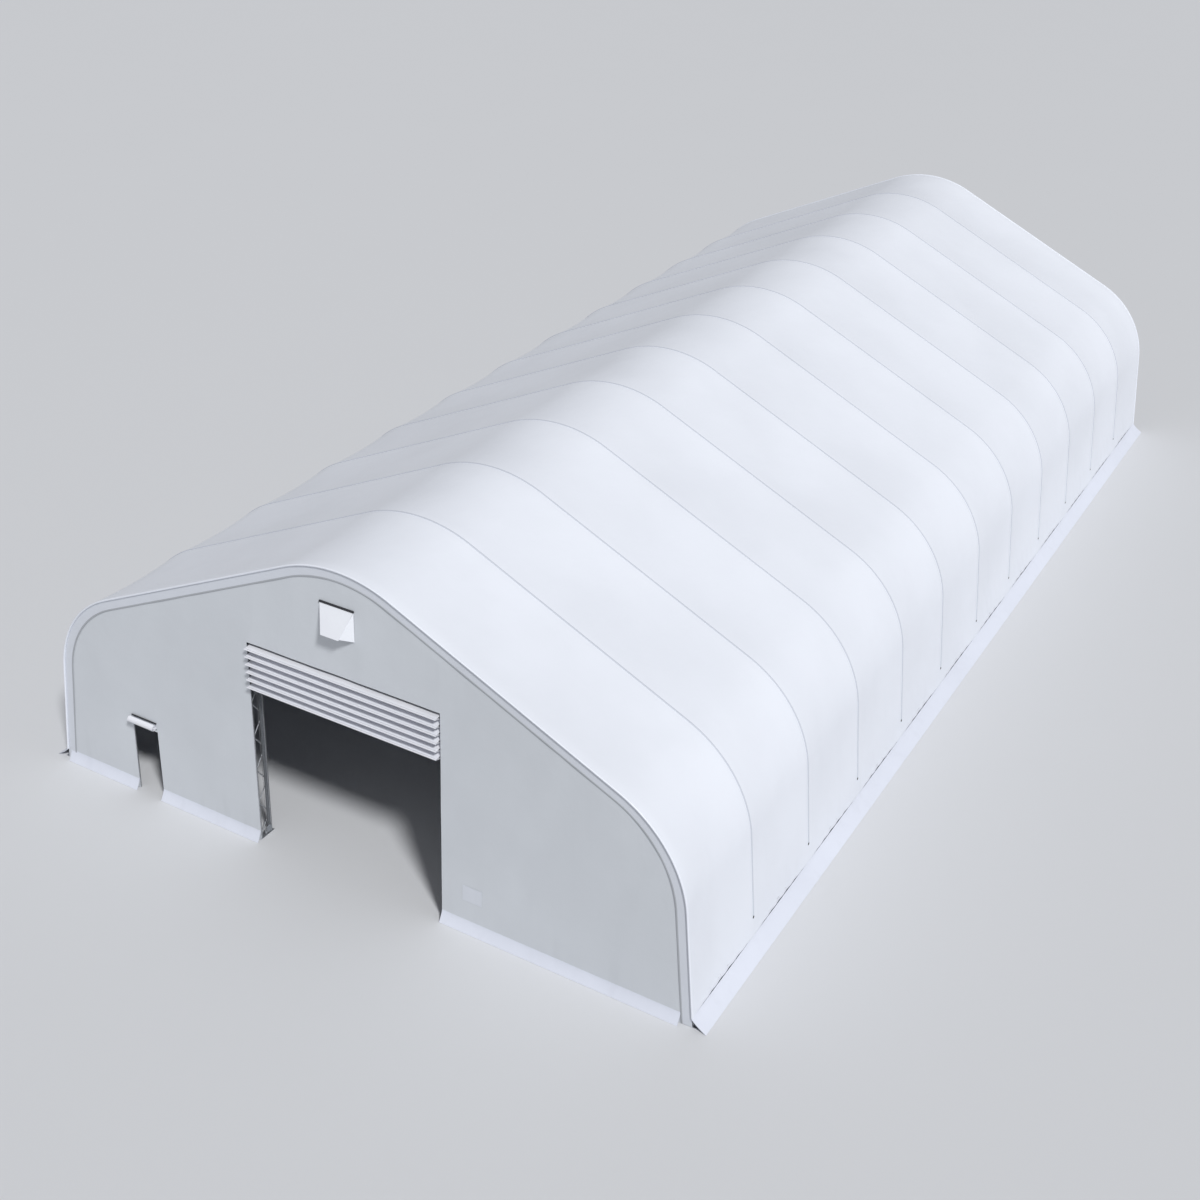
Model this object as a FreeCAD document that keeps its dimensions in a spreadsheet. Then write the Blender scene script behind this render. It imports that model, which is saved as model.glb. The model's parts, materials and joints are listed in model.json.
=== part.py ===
import FreeCAD, Part
import math
import os

# Fabric-covered storage shelter: ladder arches under a stretched cover, closed end walls, a folding main
# door that is hoisted by hand, a roll-up side door and a hinged vent. Millimetres, +Z up. +Y runs from the
# front wall, which has the doors, to the rear wall. The origin is on the ground under the middle.

V = FreeCAD.Vector
X, Y, Z = V(1, 0, 0), V(0, 1, 0), V(0, 0, 1)

doc = FreeCAD.newDocument("shelter")
sheet = doc.addObject("Spreadsheet::Sheet", "Sizes")

sizes = {
    # the cross-section, over the cover
    "coverLength": 30480, "bayCount": 12, "eaveHalf": 7220, "wallTop": 2430, "wallLean": 265,
    "eaveRadius": 2490, "roofPitch": 25.2, "ridgeRadius": 2770,
    # fabric
    "coverSkin": 8, "fabricGap": 2, "wallSkin": 8, "wallRecess": 40, "trimSkin": 4, "bandWidth": 220,
    "skirtHeight": 235, "sideFlare": 265, "endFlare": 110, "skirtToe": 12, "bandLift": 5,
    "eyeletHeight": 655, "eyeletRadius": 28, "eyeletGap": 1, "bendPieces": 4,
    # ladder arches
    "chordRadius": 30, "chordWall": 3, "chordSpacing": 300, "webRadius": 12, "webPitch": 420,
    "flangeSkin": 12, "flangeWidth": 120, "flangeLip": 1, "endInset": 110, "boltRadius": 8, "boltSlack": 1,
    "boltSpread": 140, "headRadius": 13, "headHeight": 10, "webMargin": 0.06, "webEnd": 60, "seatGap": 1,
    "basePlateX": 520, "basePlateY": 260, "basePlateSkin": 12, "anchorRadius": 11,
    "anchorX": 420, "anchorY": 180,
    # purlins and bracing
    "purlinRadius": 21, "purlinWall": 2.5, "clipSkin": 10, "clipSide": 90, "hemHeight": 320,
    "braceRadius": 6, "buckleRadius": 16, "buckleLength": 320, "braceGap": 4, "braceEnd": 0.04,
    "braceMiddle": 0.48,
    # main door frame
    "headerRise": 110, "railDrop": 5, "plateIn": 55, "plateOut": 75, "plateLap": 50, "capIn": 45, "capLap": 45,
    # main door
    "doorHalf": 2190, "doorHeight": 4650, "postOffset": 60, "foldCount": 6, "foldDepth": 374,
    "foldRise": 85, "doorShut": 40, "curtainHalf": 2170, "curtainSkin": 5, "tubeRadius": 20,
    "tubeWall": 2, "battenRadius": 14, "curtainBack": 277, "guideSkin": 4, "guideDepth": 44,
    "guideSlack": 2, "guideFoot": 215, "sheaveRadius": 80, "sheaveSkin": 14, "sheaveLow": 120,
    "sheaveHigh": 4900, "cableRadius": 4, "cableOut": 20, "axleRadius": 10, "runSlack": 0.1, "clampRise": 200,
    "curtainDrop": 12, "stripClear": 3, "guideGap": 14, "guideHeadroom": 60, "weldLap": 2,
    # the bottom bar's lift brackets
    "bracketSkin": 8, "bracketHalf": 20, "lugRise": 90, "lugTall": 70, "lugBack": 18, "shoeWide": 45,
    "clampWide": 34, "clampHalf": 14, "clampTall": 50, "clampDrop": 60,
    # sheave plates and shaft hangers
    "hangerIn": 34, "hangerLap": 45, "sheavePlateSkin": 5, "sheavePlateFront": 35, "sheavePlateBack": 5,
    "sheavePlateLow": 30, "sheavePlateTall": 160, "pinHead": 5, "pinGap": 1,
    # crank and winch frame
    "crankHeight": 1000, "crankDrum": 70, "crankArm": 240, "crankReach": 190, "drumIn": 12, "drumOut": 5,
    "hubHalf": 8, "armSkin": 10, "armWide": 24, "gripRadius": 16, "gripLength": 130, "winchPlateIn": 25,
    "winchPlateWide": 110, "winchPlateTall": 180, "winchBlockIn": 30, "winchBlockWide": 50,
    "winchBlockTall": 60, "winchLap": 35,
    # side door
    "sideDoorLeft": -5430, "sideDoorRight": -4760, "sideDoorHeight": 1640, "rollRadius": 70,
    "rollHeight": 1790, "sideFrame": 25, "rollGap": 14, "rollEnd": 5, "rollTuck": 6, "sheetOff": 10,
    "sheetGap": 3, "sideBarDrop": 8, "sideBarRadius": 9,
    # vent
    "ventHalf": 380, "ventTop": 6130, "ventLow": 5500, "ventReach": 240, "ventLipHalf": 200,
    "ventLipLow": 5600, "ventLap": 60, "ventSeam": 8, "gussetDrop": 30, "gussetBack": 20, "meshHalf": 300,
    "meshGap": 1, "meshRim": 10, "meshBar": 8, "meshRows": 9, "meshColumns": 11,
    # patch on the front wall
    "patchLeft": 2655, "patchLow": 690, "patchWide": 425, "patchTall": 350,
}
for row, (alias, value) in enumerate(sizes.items(), start=1):
    sheet.set(f"A{row}", alias)
    sheet.set(f"B{row}", str(value))
    sheet.setAlias(f"B{row}", alias)
doc.recompute()


class Named:
    """The sheet's values by name."""

    def __getattr__(self, alias):
        return float(sheet.get(alias))


n = Named()


# ---------------------------------------------------------------- making objects

def bind(thing, **formulas):
    """Binds each property to a formula in the sheet's names, or sets it when it is a worked-out number."""
    for prop, formula in formulas.items():
        if isinstance(formula, str):
            thing.setExpression(prop, formula)
        else:
            setattr(thing, prop, formula)
    return thing


def add(kind, name, **formulas):
    return bind(doc.addObject(kind, name), **formulas)


def sizes_of(text):
    """Puts the sheet's name in front of each alias: "coverSkin + 2" becomes "Sizes.coverSkin + 2"."""
    words = text.split(" ")
    return " ".join("Sizes." + w if w in sizes else w for w in words)


def S(text):
    return sizes_of(text) if isinstance(text, str) else text


def block(name, low, span, turn=None):
    """A box from its low corner and its three spans, which may be formulas."""
    thing = add("Part::Box", name, Length=S(span[0]), Width=S(span[1]), Height=S(span[2]))
    thing.Placement = FreeCAD.Placement(V(*low), turn or FreeCAD.Rotation())
    return thing


def bar(name, radius, start, end):
    """A round bar between two points."""
    line = V(*end) - V(*start)
    thing = add("Part::Cylinder", name, Radius=S(radius), Height=line.Length)
    thing.Placement = FreeCAD.Placement(V(*start), FreeCAD.Rotation(Z, line))
    return thing


def cut(name, base, tool):
    return add("Part::Cut", name, Base=base, Tool=tool)


def fuse(name, things):
    things = list(things)
    return things[0] if len(things) == 1 else add("Part::MultiFuse", name, Shapes=things)


def pipe(name, radius, wall, start, end):
    """A round tube, open at both ends."""
    outside = bar(name + "Outer", radius, start, end)
    return cut(name, outside, bar(name + "Bore", f"{radius} - {wall}", start, end))


def mirrored(name, source):
    return add("Part::Mirroring", name, Source=source, Base=V(0, 0, 0), Normal=X)


def both_sides(name, source):
    return [source, mirrored(name, source)]


parts = {}


def node(label, things):
    """One file's sub-part: its separate solids side by side."""
    parts[label] = add("Part::Compound", label, Links=list(things))
    parts[label].Label = label
    return parts[label]


# ---------------------------------------------------------------- the cross-section

lean = math.degrees(math.atan2(n.wallLean, n.wallTop))
pitch = n.roofPitch
half = n.coverLength / 2
bay = n.coverLength / n.bayCount


def heading(degrees):
    return V(math.cos(math.radians(degrees)), 0, math.sin(math.radians(degrees)))


class Station:
    """A place on the right half of the outline: its point on the cover's face and the way that the outline
    runs there, up the wall and over to the ridge. Inward is a quarter turn to the left of that way."""

    def __init__(self, point, way):
        self.point, self.way = point, way
        self.along, self.inward = heading(way), heading(way + 90)

    def at(self, inset, y=0.0, ahead=0.0):
        place = self.point + self.inward * inset + self.along * ahead
        return V(place.x, y, place.z)

    def turn(self):
        return FreeCAD.Rotation(Y, -self.way)


def on_wall(height):
    return Station(V(n.eaveHalf + n.wallLean * (1 - height / n.wallTop), 0, height), 90 + lean)


eave_centre = on_wall(n.wallTop).at(n.eaveRadius)
rafter_low = Station(eave_centre + heading(90 - pitch) * n.eaveRadius, 180 - pitch)
ridge_run = n.ridgeRadius * math.sin(math.radians(pitch))
rafter_length = (rafter_low.point.x - ridge_run) / math.cos(math.radians(pitch))
rafter_high = Station(rafter_low.at(0, ahead=rafter_length), 180 - pitch)
ridge_centre = rafter_high.at(n.ridgeRadius)
peak = ridge_centre.z + n.ridgeRadius


def on_eave(angle):
    return Station(eave_centre + heading(angle) * n.eaveRadius, 90 + angle)


def on_roof(share):
    return Station(rafter_low.at(0, ahead=rafter_length * share), 180 - pitch)


def on_ridge(angle):
    return Station(ridge_centre + heading(angle) * n.ridgeRadius, 90 + angle)


def roof_height(x, inset=0.0):
    """The height of the rafter line, set in by a distance, over a place across the width."""
    over = rafter_high.at(inset)
    return over.z - (x - over.x) * math.tan(math.radians(pitch))


def ring(name, centre, radius, first, sweep):
    """A round bar bent about a centre in the plane of the arch."""
    thing = add("Part::Torus", name, Radius1=radius[0], Radius2=S(radius[1]), Angle3=sweep)
    turn = FreeCAD.Rotation(Y, -first).multiply(FreeCAD.Rotation(X, 90))
    thing.Placement = FreeCAD.Placement(centre, turn)
    return thing


def sector(name, centre, radius, first, sweep, front, length):
    """A wedge of a round bar that lies along +Y."""
    thing = add("Part::Cylinder", name, Radius=radius, Height=length, Angle=sweep)
    turn = FreeCAD.Rotation(Y, -first).multiply(FreeCAD.Rotation(X, 90))
    thing.Placement = FreeCAD.Placement(V(centre.x, front + length, centre.z), turn)
    return thing


def outline_face(inset, y, foot=0.0):
    """The flat face inside the outline, set in by a distance and cut level at a height."""
    low = on_wall(n.wallTop).at(inset)
    slope = math.tan(math.radians(lean))
    start = V(low.x + (low.z - foot) * slope, y, foot)
    stops = [start, on_wall(n.wallTop).at(inset, y)]
    middles = [on_eave((lean + 90 - pitch) / 2).at(inset, y)]
    right = [Part.LineSegment(*stops).toShape()]
    right.append(Part.Arc(stops[1], middles[0], rafter_low.at(inset, y)).toShape())
    right.append(Part.LineSegment(rafter_low.at(inset, y), rafter_high.at(inset, y)).toShape())
    left = [edge.mirror(V(0, 0, 0), X) for edge in right]
    ends = rafter_high.at(inset, y), on_ridge(90).at(inset, y)
    top = Part.Arc(ends[0], ends[1], V(-ends[0].x, y, ends[0].z)).toShape()
    floor = Part.LineSegment(V(-start.x, y, foot), start).toShape()
    return Part.Face(Part.Wire(Part.__sortEdges__(right + [top] + left + [floor])))


def outline_plate(name, inset, y, skin, foot=0.0):
    thing = doc.addObject("Part::Feature", name)
    thing.Shape = outline_face(inset, y, foot).extrude(V(0, skin, 0))
    return thing


# ---------------------------------------------------------------- ladder arches

outer_inset = n.coverSkin + n.fabricGap + n.chordRadius
inner_inset = outer_inset + n.chordSpacing
middle_inset = (outer_inset + inner_inset) / 2


def flange(name, station, ahead):
    """A plate across both chords that stands a lip's width past each of them."""
    depth = inner_inset - outer_inset + 2 * (n.chordRadius + n.flangeLip)
    low = station.at(outer_inset - n.chordRadius - n.flangeLip, -n.flangeWidth / 2, ahead)
    return block(name, low, ["flangeSkin", "flangeWidth", depth], station.turn())


def flange_holes(name, station):
    holes = []
    for i, side in enumerate((-1, 1)):
        inset = middle_inset + side * n.boltSpread / 2
        reach = 2 * n.flangeSkin
        ends = [station.at(inset, 0, ahead) for ahead in (-reach, reach)]
        holes.append(bar(f"{name}Hole{i}", "boltRadius + boltSlack", *ends))
    return holes


def web_bars(name, stations):
    """Bars that zigzag between the chords, one from each station to the next."""
    bars = []
    for i, (a, b) in enumerate(zip(stations, stations[1:])):
        insets = (outer_inset, inner_inset) if i % 2 == 0 else (inner_inset, outer_inset)
        bars.append(bar(f"{name}Web{i}", "webRadius", a.at(insets[0]), b.at(insets[1])))
    return bars


def spaced(count, function, first, last):
    """Stations from first to last, kept a little off both ends for the flanges."""
    edge = n.webMargin * (last - first)
    steps = [first + edge + (last - first - 2 * edge) * i / count for i in range(count + 1)]
    return [function(s) for s in steps]


def web_count(length):
    return max(2, 2 * round(length / n.webPitch / 2))


def weldment(name, solids, bores):
    return cut(name, fuse(name + "Solid", solids), fuse(name + "Void", bores))


def leg():
    top = on_wall(n.wallTop)
    under = -(n.wallTop / math.cos(math.radians(lean)) + n.chordSpacing)
    solids, bores = [flange("LegFlange", top, -n.flangeSkin)], flange_holes("Leg", top)
    for key, inset in (("Outer", outer_inset), ("Inner", inner_inset)):
        ends = top.at(inset, 0, under), top.at(inset)
        solids.append(bar(f"Leg{key}", "chordRadius", *ends))
        bores.append(bar(f"Leg{key}Bore", "chordRadius - chordWall", *ends))
    solids += web_bars("Leg", spaced(web_count(n.wallTop), on_wall, n.basePlateSkin, n.wallTop))
    reach = 2 * n.eaveHalf
    bores.append(block("LegFootTrim", (0, -reach / 2, n.basePlateSkin - reach), [reach, reach, reach]))
    return weldment("Leg", solids, bores)


def bend(name, centre, radius, function, first, last):
    stations = function(first), function(last)
    solids = [flange(name + "FlangeA", stations[0], 0), flange(name + "FlangeB", stations[1], -n.flangeSkin)]
    bores = flange_holes(name + "A", stations[0]) + flange_holes(name + "B", stations[1])
    for key, inset in (("Outer", outer_inset), ("Inner", inner_inset)):
        solids.append(ring(name + key, centre, (radius - inset, "chordRadius"), first, last - first))
        bore = (radius - inset, "chordRadius - chordWall")
        bores.append(ring(name + key + "Bore", centre, bore, first, last - first))
    count = web_count(math.radians(last - first) * radius)
    solids += web_bars(name, spaced(count, function, first, last))
    return weldment(name, solids, bores)


def rafter():
    solids = [flange("RafterFlangeA", rafter_low, 0), flange("RafterFlangeB", rafter_high, -n.flangeSkin)]
    solids.append(flange("RafterPurlinPlate", on_roof(0.5), -n.flangeSkin / 2))
    bores = flange_holes("RafterA", rafter_low) + flange_holes("RafterB", rafter_high)
    for key, inset in (("Outer", outer_inset), ("Inner", inner_inset)):
        ends = rafter_low.at(inset), rafter_high.at(inset)
        solids.append(bar(f"Rafter{key}", "chordRadius", *ends))
        bores.append(bar(f"Rafter{key}Bore", "chordRadius - chordWall", *ends))
    solids += web_bars("Rafter", spaced(web_count(rafter_length), on_roof, 0, 1))
    return weldment("Rafter", solids, bores)


arch_pieces = both_sides("LeftLeg", leg())
eave_bend = bend("EaveBend", eave_centre, n.eaveRadius, on_eave, lean, 90 - pitch)
arch_pieces += both_sides("LeftEaveBend", eave_bend)
arch_pieces += both_sides("LeftRafter", rafter())
arch_pieces.append(bend("RidgeBend", ridge_centre, n.ridgeRadius, on_ridge, 90 - pitch, 90 + pitch))

arch_lines = [-half + n.endInset] + [-half + bay * i for i in range(1, int(n.bayCount))] + [half - n.endInset]
for i, y in enumerate(arch_lines, start=1):
    node(f"truss_frame_{i:02d}", arch_pieces).Placement.Base = V(0, y, 0)


def splice_bolt(name, station, inset, y):
    """A bolt through two flanges, with its head and its nut, as one solid."""
    grip = n.flangeSkin
    shank = bar(name + "Shank", "boltRadius", station.at(inset, y, -grip), station.at(inset, y, grip))
    ends = []
    for key, ahead in (("Head", -grip - n.headHeight), ("Nut", grip)):
        cap = add("Part::Prism", name + key, Polygon=6, Circumradius=S("headRadius"), Height=S("headHeight"))
        cap.Placement = FreeCAD.Placement(station.at(inset, y, ahead), FreeCAD.Rotation(Z, station.along))
        ends.append(cap)
    return fuse(name, [shank] + ends)


bolts = []
for i, station in enumerate((on_wall(n.wallTop), rafter_low, rafter_high)):
    for j, side in enumerate((-1, 1)):
        bolts.append(splice_bolt(f"Bolt{i}{j}", station, middle_inset + side * n.boltSpread / 2, 0))
arch_bolts = add("Part::Compound", "ArchBolts", Links=bolts + [mirrored(f"Left{b.Name}", b) for b in bolts])


def repeated(name, source, places):
    """Copies of a sub-part, one at each place along the building."""
    copies = []
    for i, y in enumerate(places):
        copy = add("Part::Compound", f"{name}{i}", Links=[source])
        copy.Placement.Base = V(0, y, 0)
        copies.append(copy)
    return copies


node("splice_bolts", repeated("ArchBoltSet", arch_bolts, arch_lines))

foot_middle = on_wall(0).at(middle_inset).x
base_block = block("BaseBlock", (foot_middle - n.basePlateX / 2, -n.basePlateY / 2, 0),
                   ["basePlateX", "basePlateY", "basePlateSkin"])
anchor_holes = []
for i, (sx, sy) in enumerate(((-1, -1), (1, -1), (1, 1), (-1, 1))):
    at = (foot_middle + sx * n.anchorX / 2, sy * n.anchorY / 2)
    ends = (*at, -n.basePlateSkin), (*at, 2 * n.basePlateSkin)
    anchor_holes.append(bar(f"AnchorHole{i}", "anchorRadius", *ends))
base_plate = cut("BasePlate", base_block, fuse("AnchorHoles", anchor_holes))
base_pair = add("Part::Compound", "BasePair", Links=both_sides("LeftBasePlate", base_plate))
base_lines = [-half + n.wallRecess + n.wallSkin + n.basePlateY / 2] + arch_lines[1:-1]
base_lines.append(-base_lines[0])
node("base_plates", repeated("BaseSet", base_pair, base_lines))

# ---------------------------------------------------------------- purlins and bracing


def purlin_run(name, station, mirror=True):
    """Tubes between the arches, each ending on a clip plate that is bolted to the arch's flange."""
    tubes, clips = [], []
    face = n.flangeWidth / 2
    for i, (a, b) in enumerate(zip(arch_lines, arch_lines[1:])):
        ends = a + face + n.clipSkin, b - face - n.clipSkin
        tubes.append(pipe(f"{name}{i}", "purlinRadius", "purlinWall",
                          station.at(middle_inset, ends[0]), station.at(middle_inset, ends[1])))
        for j, y in enumerate((a + face, b - face - n.clipSkin)):
            low = station.at(middle_inset - n.clipSide / 2, y, -n.clipSide / 2)
            clips.append(block(f"{name}Clip{i}{j}", low, ["clipSide", "clipSkin", "clipSide"], station.turn()))
    if mirror:
        tubes += [mirrored("Left" + t.Name, t) for t in tubes]
        clips += [mirrored("Left" + c.Name, c) for c in clips]
    return tubes, clips


ridge_run_tubes, ridge_clips = purlin_run("RidgePurlin", on_ridge(90), mirror=False)
roof_tubes, roof_clips = purlin_run("RoofPurlin", on_roof(0.5))
eave_tubes, eave_clips = purlin_run("EavePurlin", rafter_low)
wall_tubes, wall_clips = purlin_run("WallPurlin", on_wall(n.wallTop))
node("roof_purlins", ridge_run_tubes + roof_tubes)
node("eave_purlins", eave_tubes + wall_tubes)
node("purlin_clips", ridge_clips + roof_clips + eave_clips + wall_clips)

# the cover's bottom edge is pulled down over a rail that runs between the legs
hem_rails = []
hem_inset = outer_inset
for i, (a, b) in enumerate(zip(arch_lines, arch_lines[1:])):
    place = on_wall(n.hemHeight)
    ends = [place.at(hem_inset, y) for y in (a + n.chordRadius + n.seatGap, b - n.chordRadius - n.seatGap)]
    hem_rails.append(pipe(f"HemRail{i}", "purlinRadius", "purlinWall", *ends))
node("hem_rails", hem_rails + [mirrored("Left" + r.Name, r) for r in hem_rails])


def brace(name, low, high, ends, layer):
    """A tie rod under the inner chords with a turnbuckle at its middle, from one arch to the next."""
    inset = inner_inset + n.chordRadius + n.buckleRadius + n.braceGap
    inset += layer * (2 * n.buckleRadius + n.braceGap)
    a, b = low.at(inset, ends[0]), high.at(inset, ends[1])
    way = (b - a).normalize()
    middle = (a + b) / 2
    reach = n.buckleLength / 2
    rod = bar(name + "Rod", "braceRadius", a, b)
    return fuse(name, [rod, bar(name + "Buckle", "buckleRadius", middle - way * reach, middle + way * reach)])


braces = []
brace_spans = [(on_roof(n.braceEnd), on_roof(n.braceMiddle)),
               (on_roof(1 - n.braceMiddle), on_roof(1 - n.braceEnd)),
               (on_wall(n.hemHeight), on_wall(n.wallTop - n.chordSpacing))]
for i, (a, b) in enumerate(((arch_lines[0], arch_lines[1]), (arch_lines[-2], arch_lines[-1]))):
    for j, (low, high) in enumerate(brace_spans):
        braces.append(brace(f"Brace{i}{j}A", low, high, (a, b), 0))
        braces.append(brace(f"Brace{i}{j}B", low, high, (b, a), 1))
node("wind_braces", braces + [mirrored("Left" + b.Name, b) for b in braces])

# ---------------------------------------------------------------- cover


def slab(name, station, run, skin, front, length):
    """A flat strip of fabric that starts at a station and runs along the outline."""
    return block(name, station.at(0, front), [run, length, S(skin)], station.turn())


def bent(name, centre, radius, first, last):
    """A curved strip of fabric, in a few narrow pieces that meet face to face."""
    pieces = int(n.bendPieces)
    step = (last - first) / pieces
    strips = []
    for i in range(pieces):
        start = first + step * i
        solid = sector(f"{name}{i}", centre, radius, start, step, -half, n.coverLength)
        void = sector(f"{name}{i}Inside", centre, radius - n.coverSkin, start, step, -half, n.coverLength)
        strips.append(cut(f"{name}{i}Strip", solid, void))
    return strips


wall_foot = n.skirtHeight + n.fabricGap
wall_run = (n.wallTop - wall_foot) / math.cos(math.radians(lean))
right_cover = [slab("CoverWall", on_wall(wall_foot), wall_run, "coverSkin", -half, n.coverLength)]
right_cover += bent("CoverEave", eave_centre, n.eaveRadius, lean, 90 - pitch)
right_cover.append(slab("CoverRoof", rafter_low, rafter_length, "coverSkin", -half, n.coverLength))
ridge_cover = bent("CoverRidge", ridge_centre, n.ridgeRadius, 90 - pitch, 90 + pitch)
node("main_cover", right_cover + [mirrored("Left" + c.Name, c) for c in right_cover] + ridge_cover)


skirt_edge = on_wall(n.skirtHeight).point.x
side_out = on_wall(0).point.x + n.sideFlare


def leaning_prism(name, corners, y, run):
    """A strip of constant section along +Y from its (x, z) corners."""
    wire = Part.makePolygon([V(x, y, z) for x, z in corners + corners[:1]])
    thing = doc.addObject("Part::Feature", name)
    thing.Shape = Part.Face(wire).extrude(V(0, run, 0))
    return thing


skin = n.coverSkin
side_corners = [(skirt_edge - skin, n.skirtHeight), (skirt_edge, n.skirtHeight), (side_out, 0),
                (side_out - n.skirtToe, 0)]
side_skirt = leaning_prism("SideSkirt", side_corners, -half, n.coverLength)
node("side_skirts", both_sides("LeftSideSkirt", side_skirt))

wall_face = -half + n.wallRecess
fabric_inset = n.coverSkin + n.fabricGap


def end_skirt(name, x, run):
    """A strip of constant section along X, leaning out from the wall's face to the ground."""
    top, foot = wall_face, wall_face - n.endFlare
    corners = [(top, n.skirtHeight), (top - skin, n.skirtHeight), (foot, 0), (foot + n.skirtToe, 0)]
    wire = Part.makePolygon([V(x, y, z) for y, z in corners + corners[:1]])
    thing = doc.addObject("Part::Feature", name)
    thing.Shape = Part.Face(wire).extrude(V(run, 0, 0))
    return thing


skirt_reach = skirt_edge - n.coverSkin - n.fabricGap
front_skirts = [
    end_skirt("FrontSkirtLeft", -skirt_reach, n.sideDoorLeft + skirt_reach),
    end_skirt("FrontSkirtMiddle", n.sideDoorRight, -n.doorHalf - n.sideDoorRight),
    end_skirt("FrontSkirtRight", n.doorHalf, skirt_reach - n.doorHalf),
]
rear_skirt = add("Part::Mirroring", "RearSkirt", Normal=Y,
                 Source=end_skirt("RearSkirtForward", -skirt_reach, 2 * skirt_reach))
node("end_skirts", front_skirts + [rear_skirt])

# ---------------------------------------------------------------- end walls

front_plate = outline_plate("FrontOutline", fabric_inset, wall_face, n.wallSkin)
rear_plate = outline_plate("RearOutline", fabric_inset, -wall_face - n.wallSkin, n.wallSkin)


def wall_panel(name, plate, left, right, low, high):
    """The part of an end wall between two upright lines and two level ones."""
    span = [right - left, 4 * n.wallSkin, high - low]
    window = block(name + "Window", (left, plate.Shape.BoundBox.Center.y - 2 * n.wallSkin, low), span)
    return add("Part::Common", name, Base=plate, Tool=window)


reach = 2 * n.eaveHalf
vent_low, vent_high = n.ventLow + n.ventLap, n.ventTop - n.ventLap
front_panels = [
    ("FrontFarLeft", -reach, n.sideDoorLeft, 0, reach),
    ("FrontOverSideDoor", n.sideDoorLeft, n.sideDoorRight, n.sideDoorHeight, reach),
    ("FrontLeft", n.sideDoorRight, -n.doorHalf, 0, reach),
    ("FrontOverDoorLeft", -n.doorHalf, -n.meshHalf, n.doorHeight, reach),
    ("FrontUnderVent", -n.meshHalf, n.meshHalf, n.doorHeight, vent_low),
    ("FrontOverVent", -n.meshHalf, n.meshHalf, vent_high, reach),
    ("FrontOverDoorRight", n.meshHalf, n.doorHalf, n.doorHeight, reach),
    ("FrontRight", n.doorHalf, reach, 0, reach),
]
node("front_wall", [wall_panel(name, front_plate, *edges) for name, *edges in front_panels])
rear_panels = [
    ("RearLeft", -reach, -n.meshHalf, 0, reach),
    ("RearUnderVent", -n.meshHalf, n.meshHalf, 0, vent_low),
    ("RearOverVent", -n.meshHalf, n.meshHalf, vent_high, reach),
    ("RearRight", n.meshHalf, reach, 0, reach),
]
node("rear_wall", [wall_panel(name, rear_plate, *edges) for name, *edges in rear_panels])

band_foot = n.skirtHeight + n.bandLift
band_face = wall_face - n.trimSkin
front_band = cut("FrontBand",
                 outline_plate("FrontBandOutline", fabric_inset, band_face, n.trimSkin, band_foot),
                 outline_plate("FrontBandInside", fabric_inset + n.bandWidth, wall_face - 2 * n.trimSkin,
                               3 * n.trimSkin, band_foot - n.bandLift))
rear_band = add("Part::Mirroring", "RearBand", Source=front_band, Normal=Y)
node("border_bands", [front_band, rear_band])

eyelets = []
for i, y in enumerate(arch_lines[1:-1]):
    place = on_wall(n.eyeletHeight)
    eyelets.append(bar(f"Eyelet{i}", "eyeletRadius", place.at(-n.eyeletGap, y),
                       place.at(-n.trimSkin - n.eyeletGap, y)))
node("seam_eyelets", eyelets + [mirrored("Left" + e.Name, e) for e in eyelets])

node("wall_patch", [block("Patch", (n.patchLeft, wall_face - n.trimSkin, n.patchLow),
                          ["patchWide", "trimSkin", "patchTall"])])

# ---------------------------------------------------------------- vents


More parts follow.
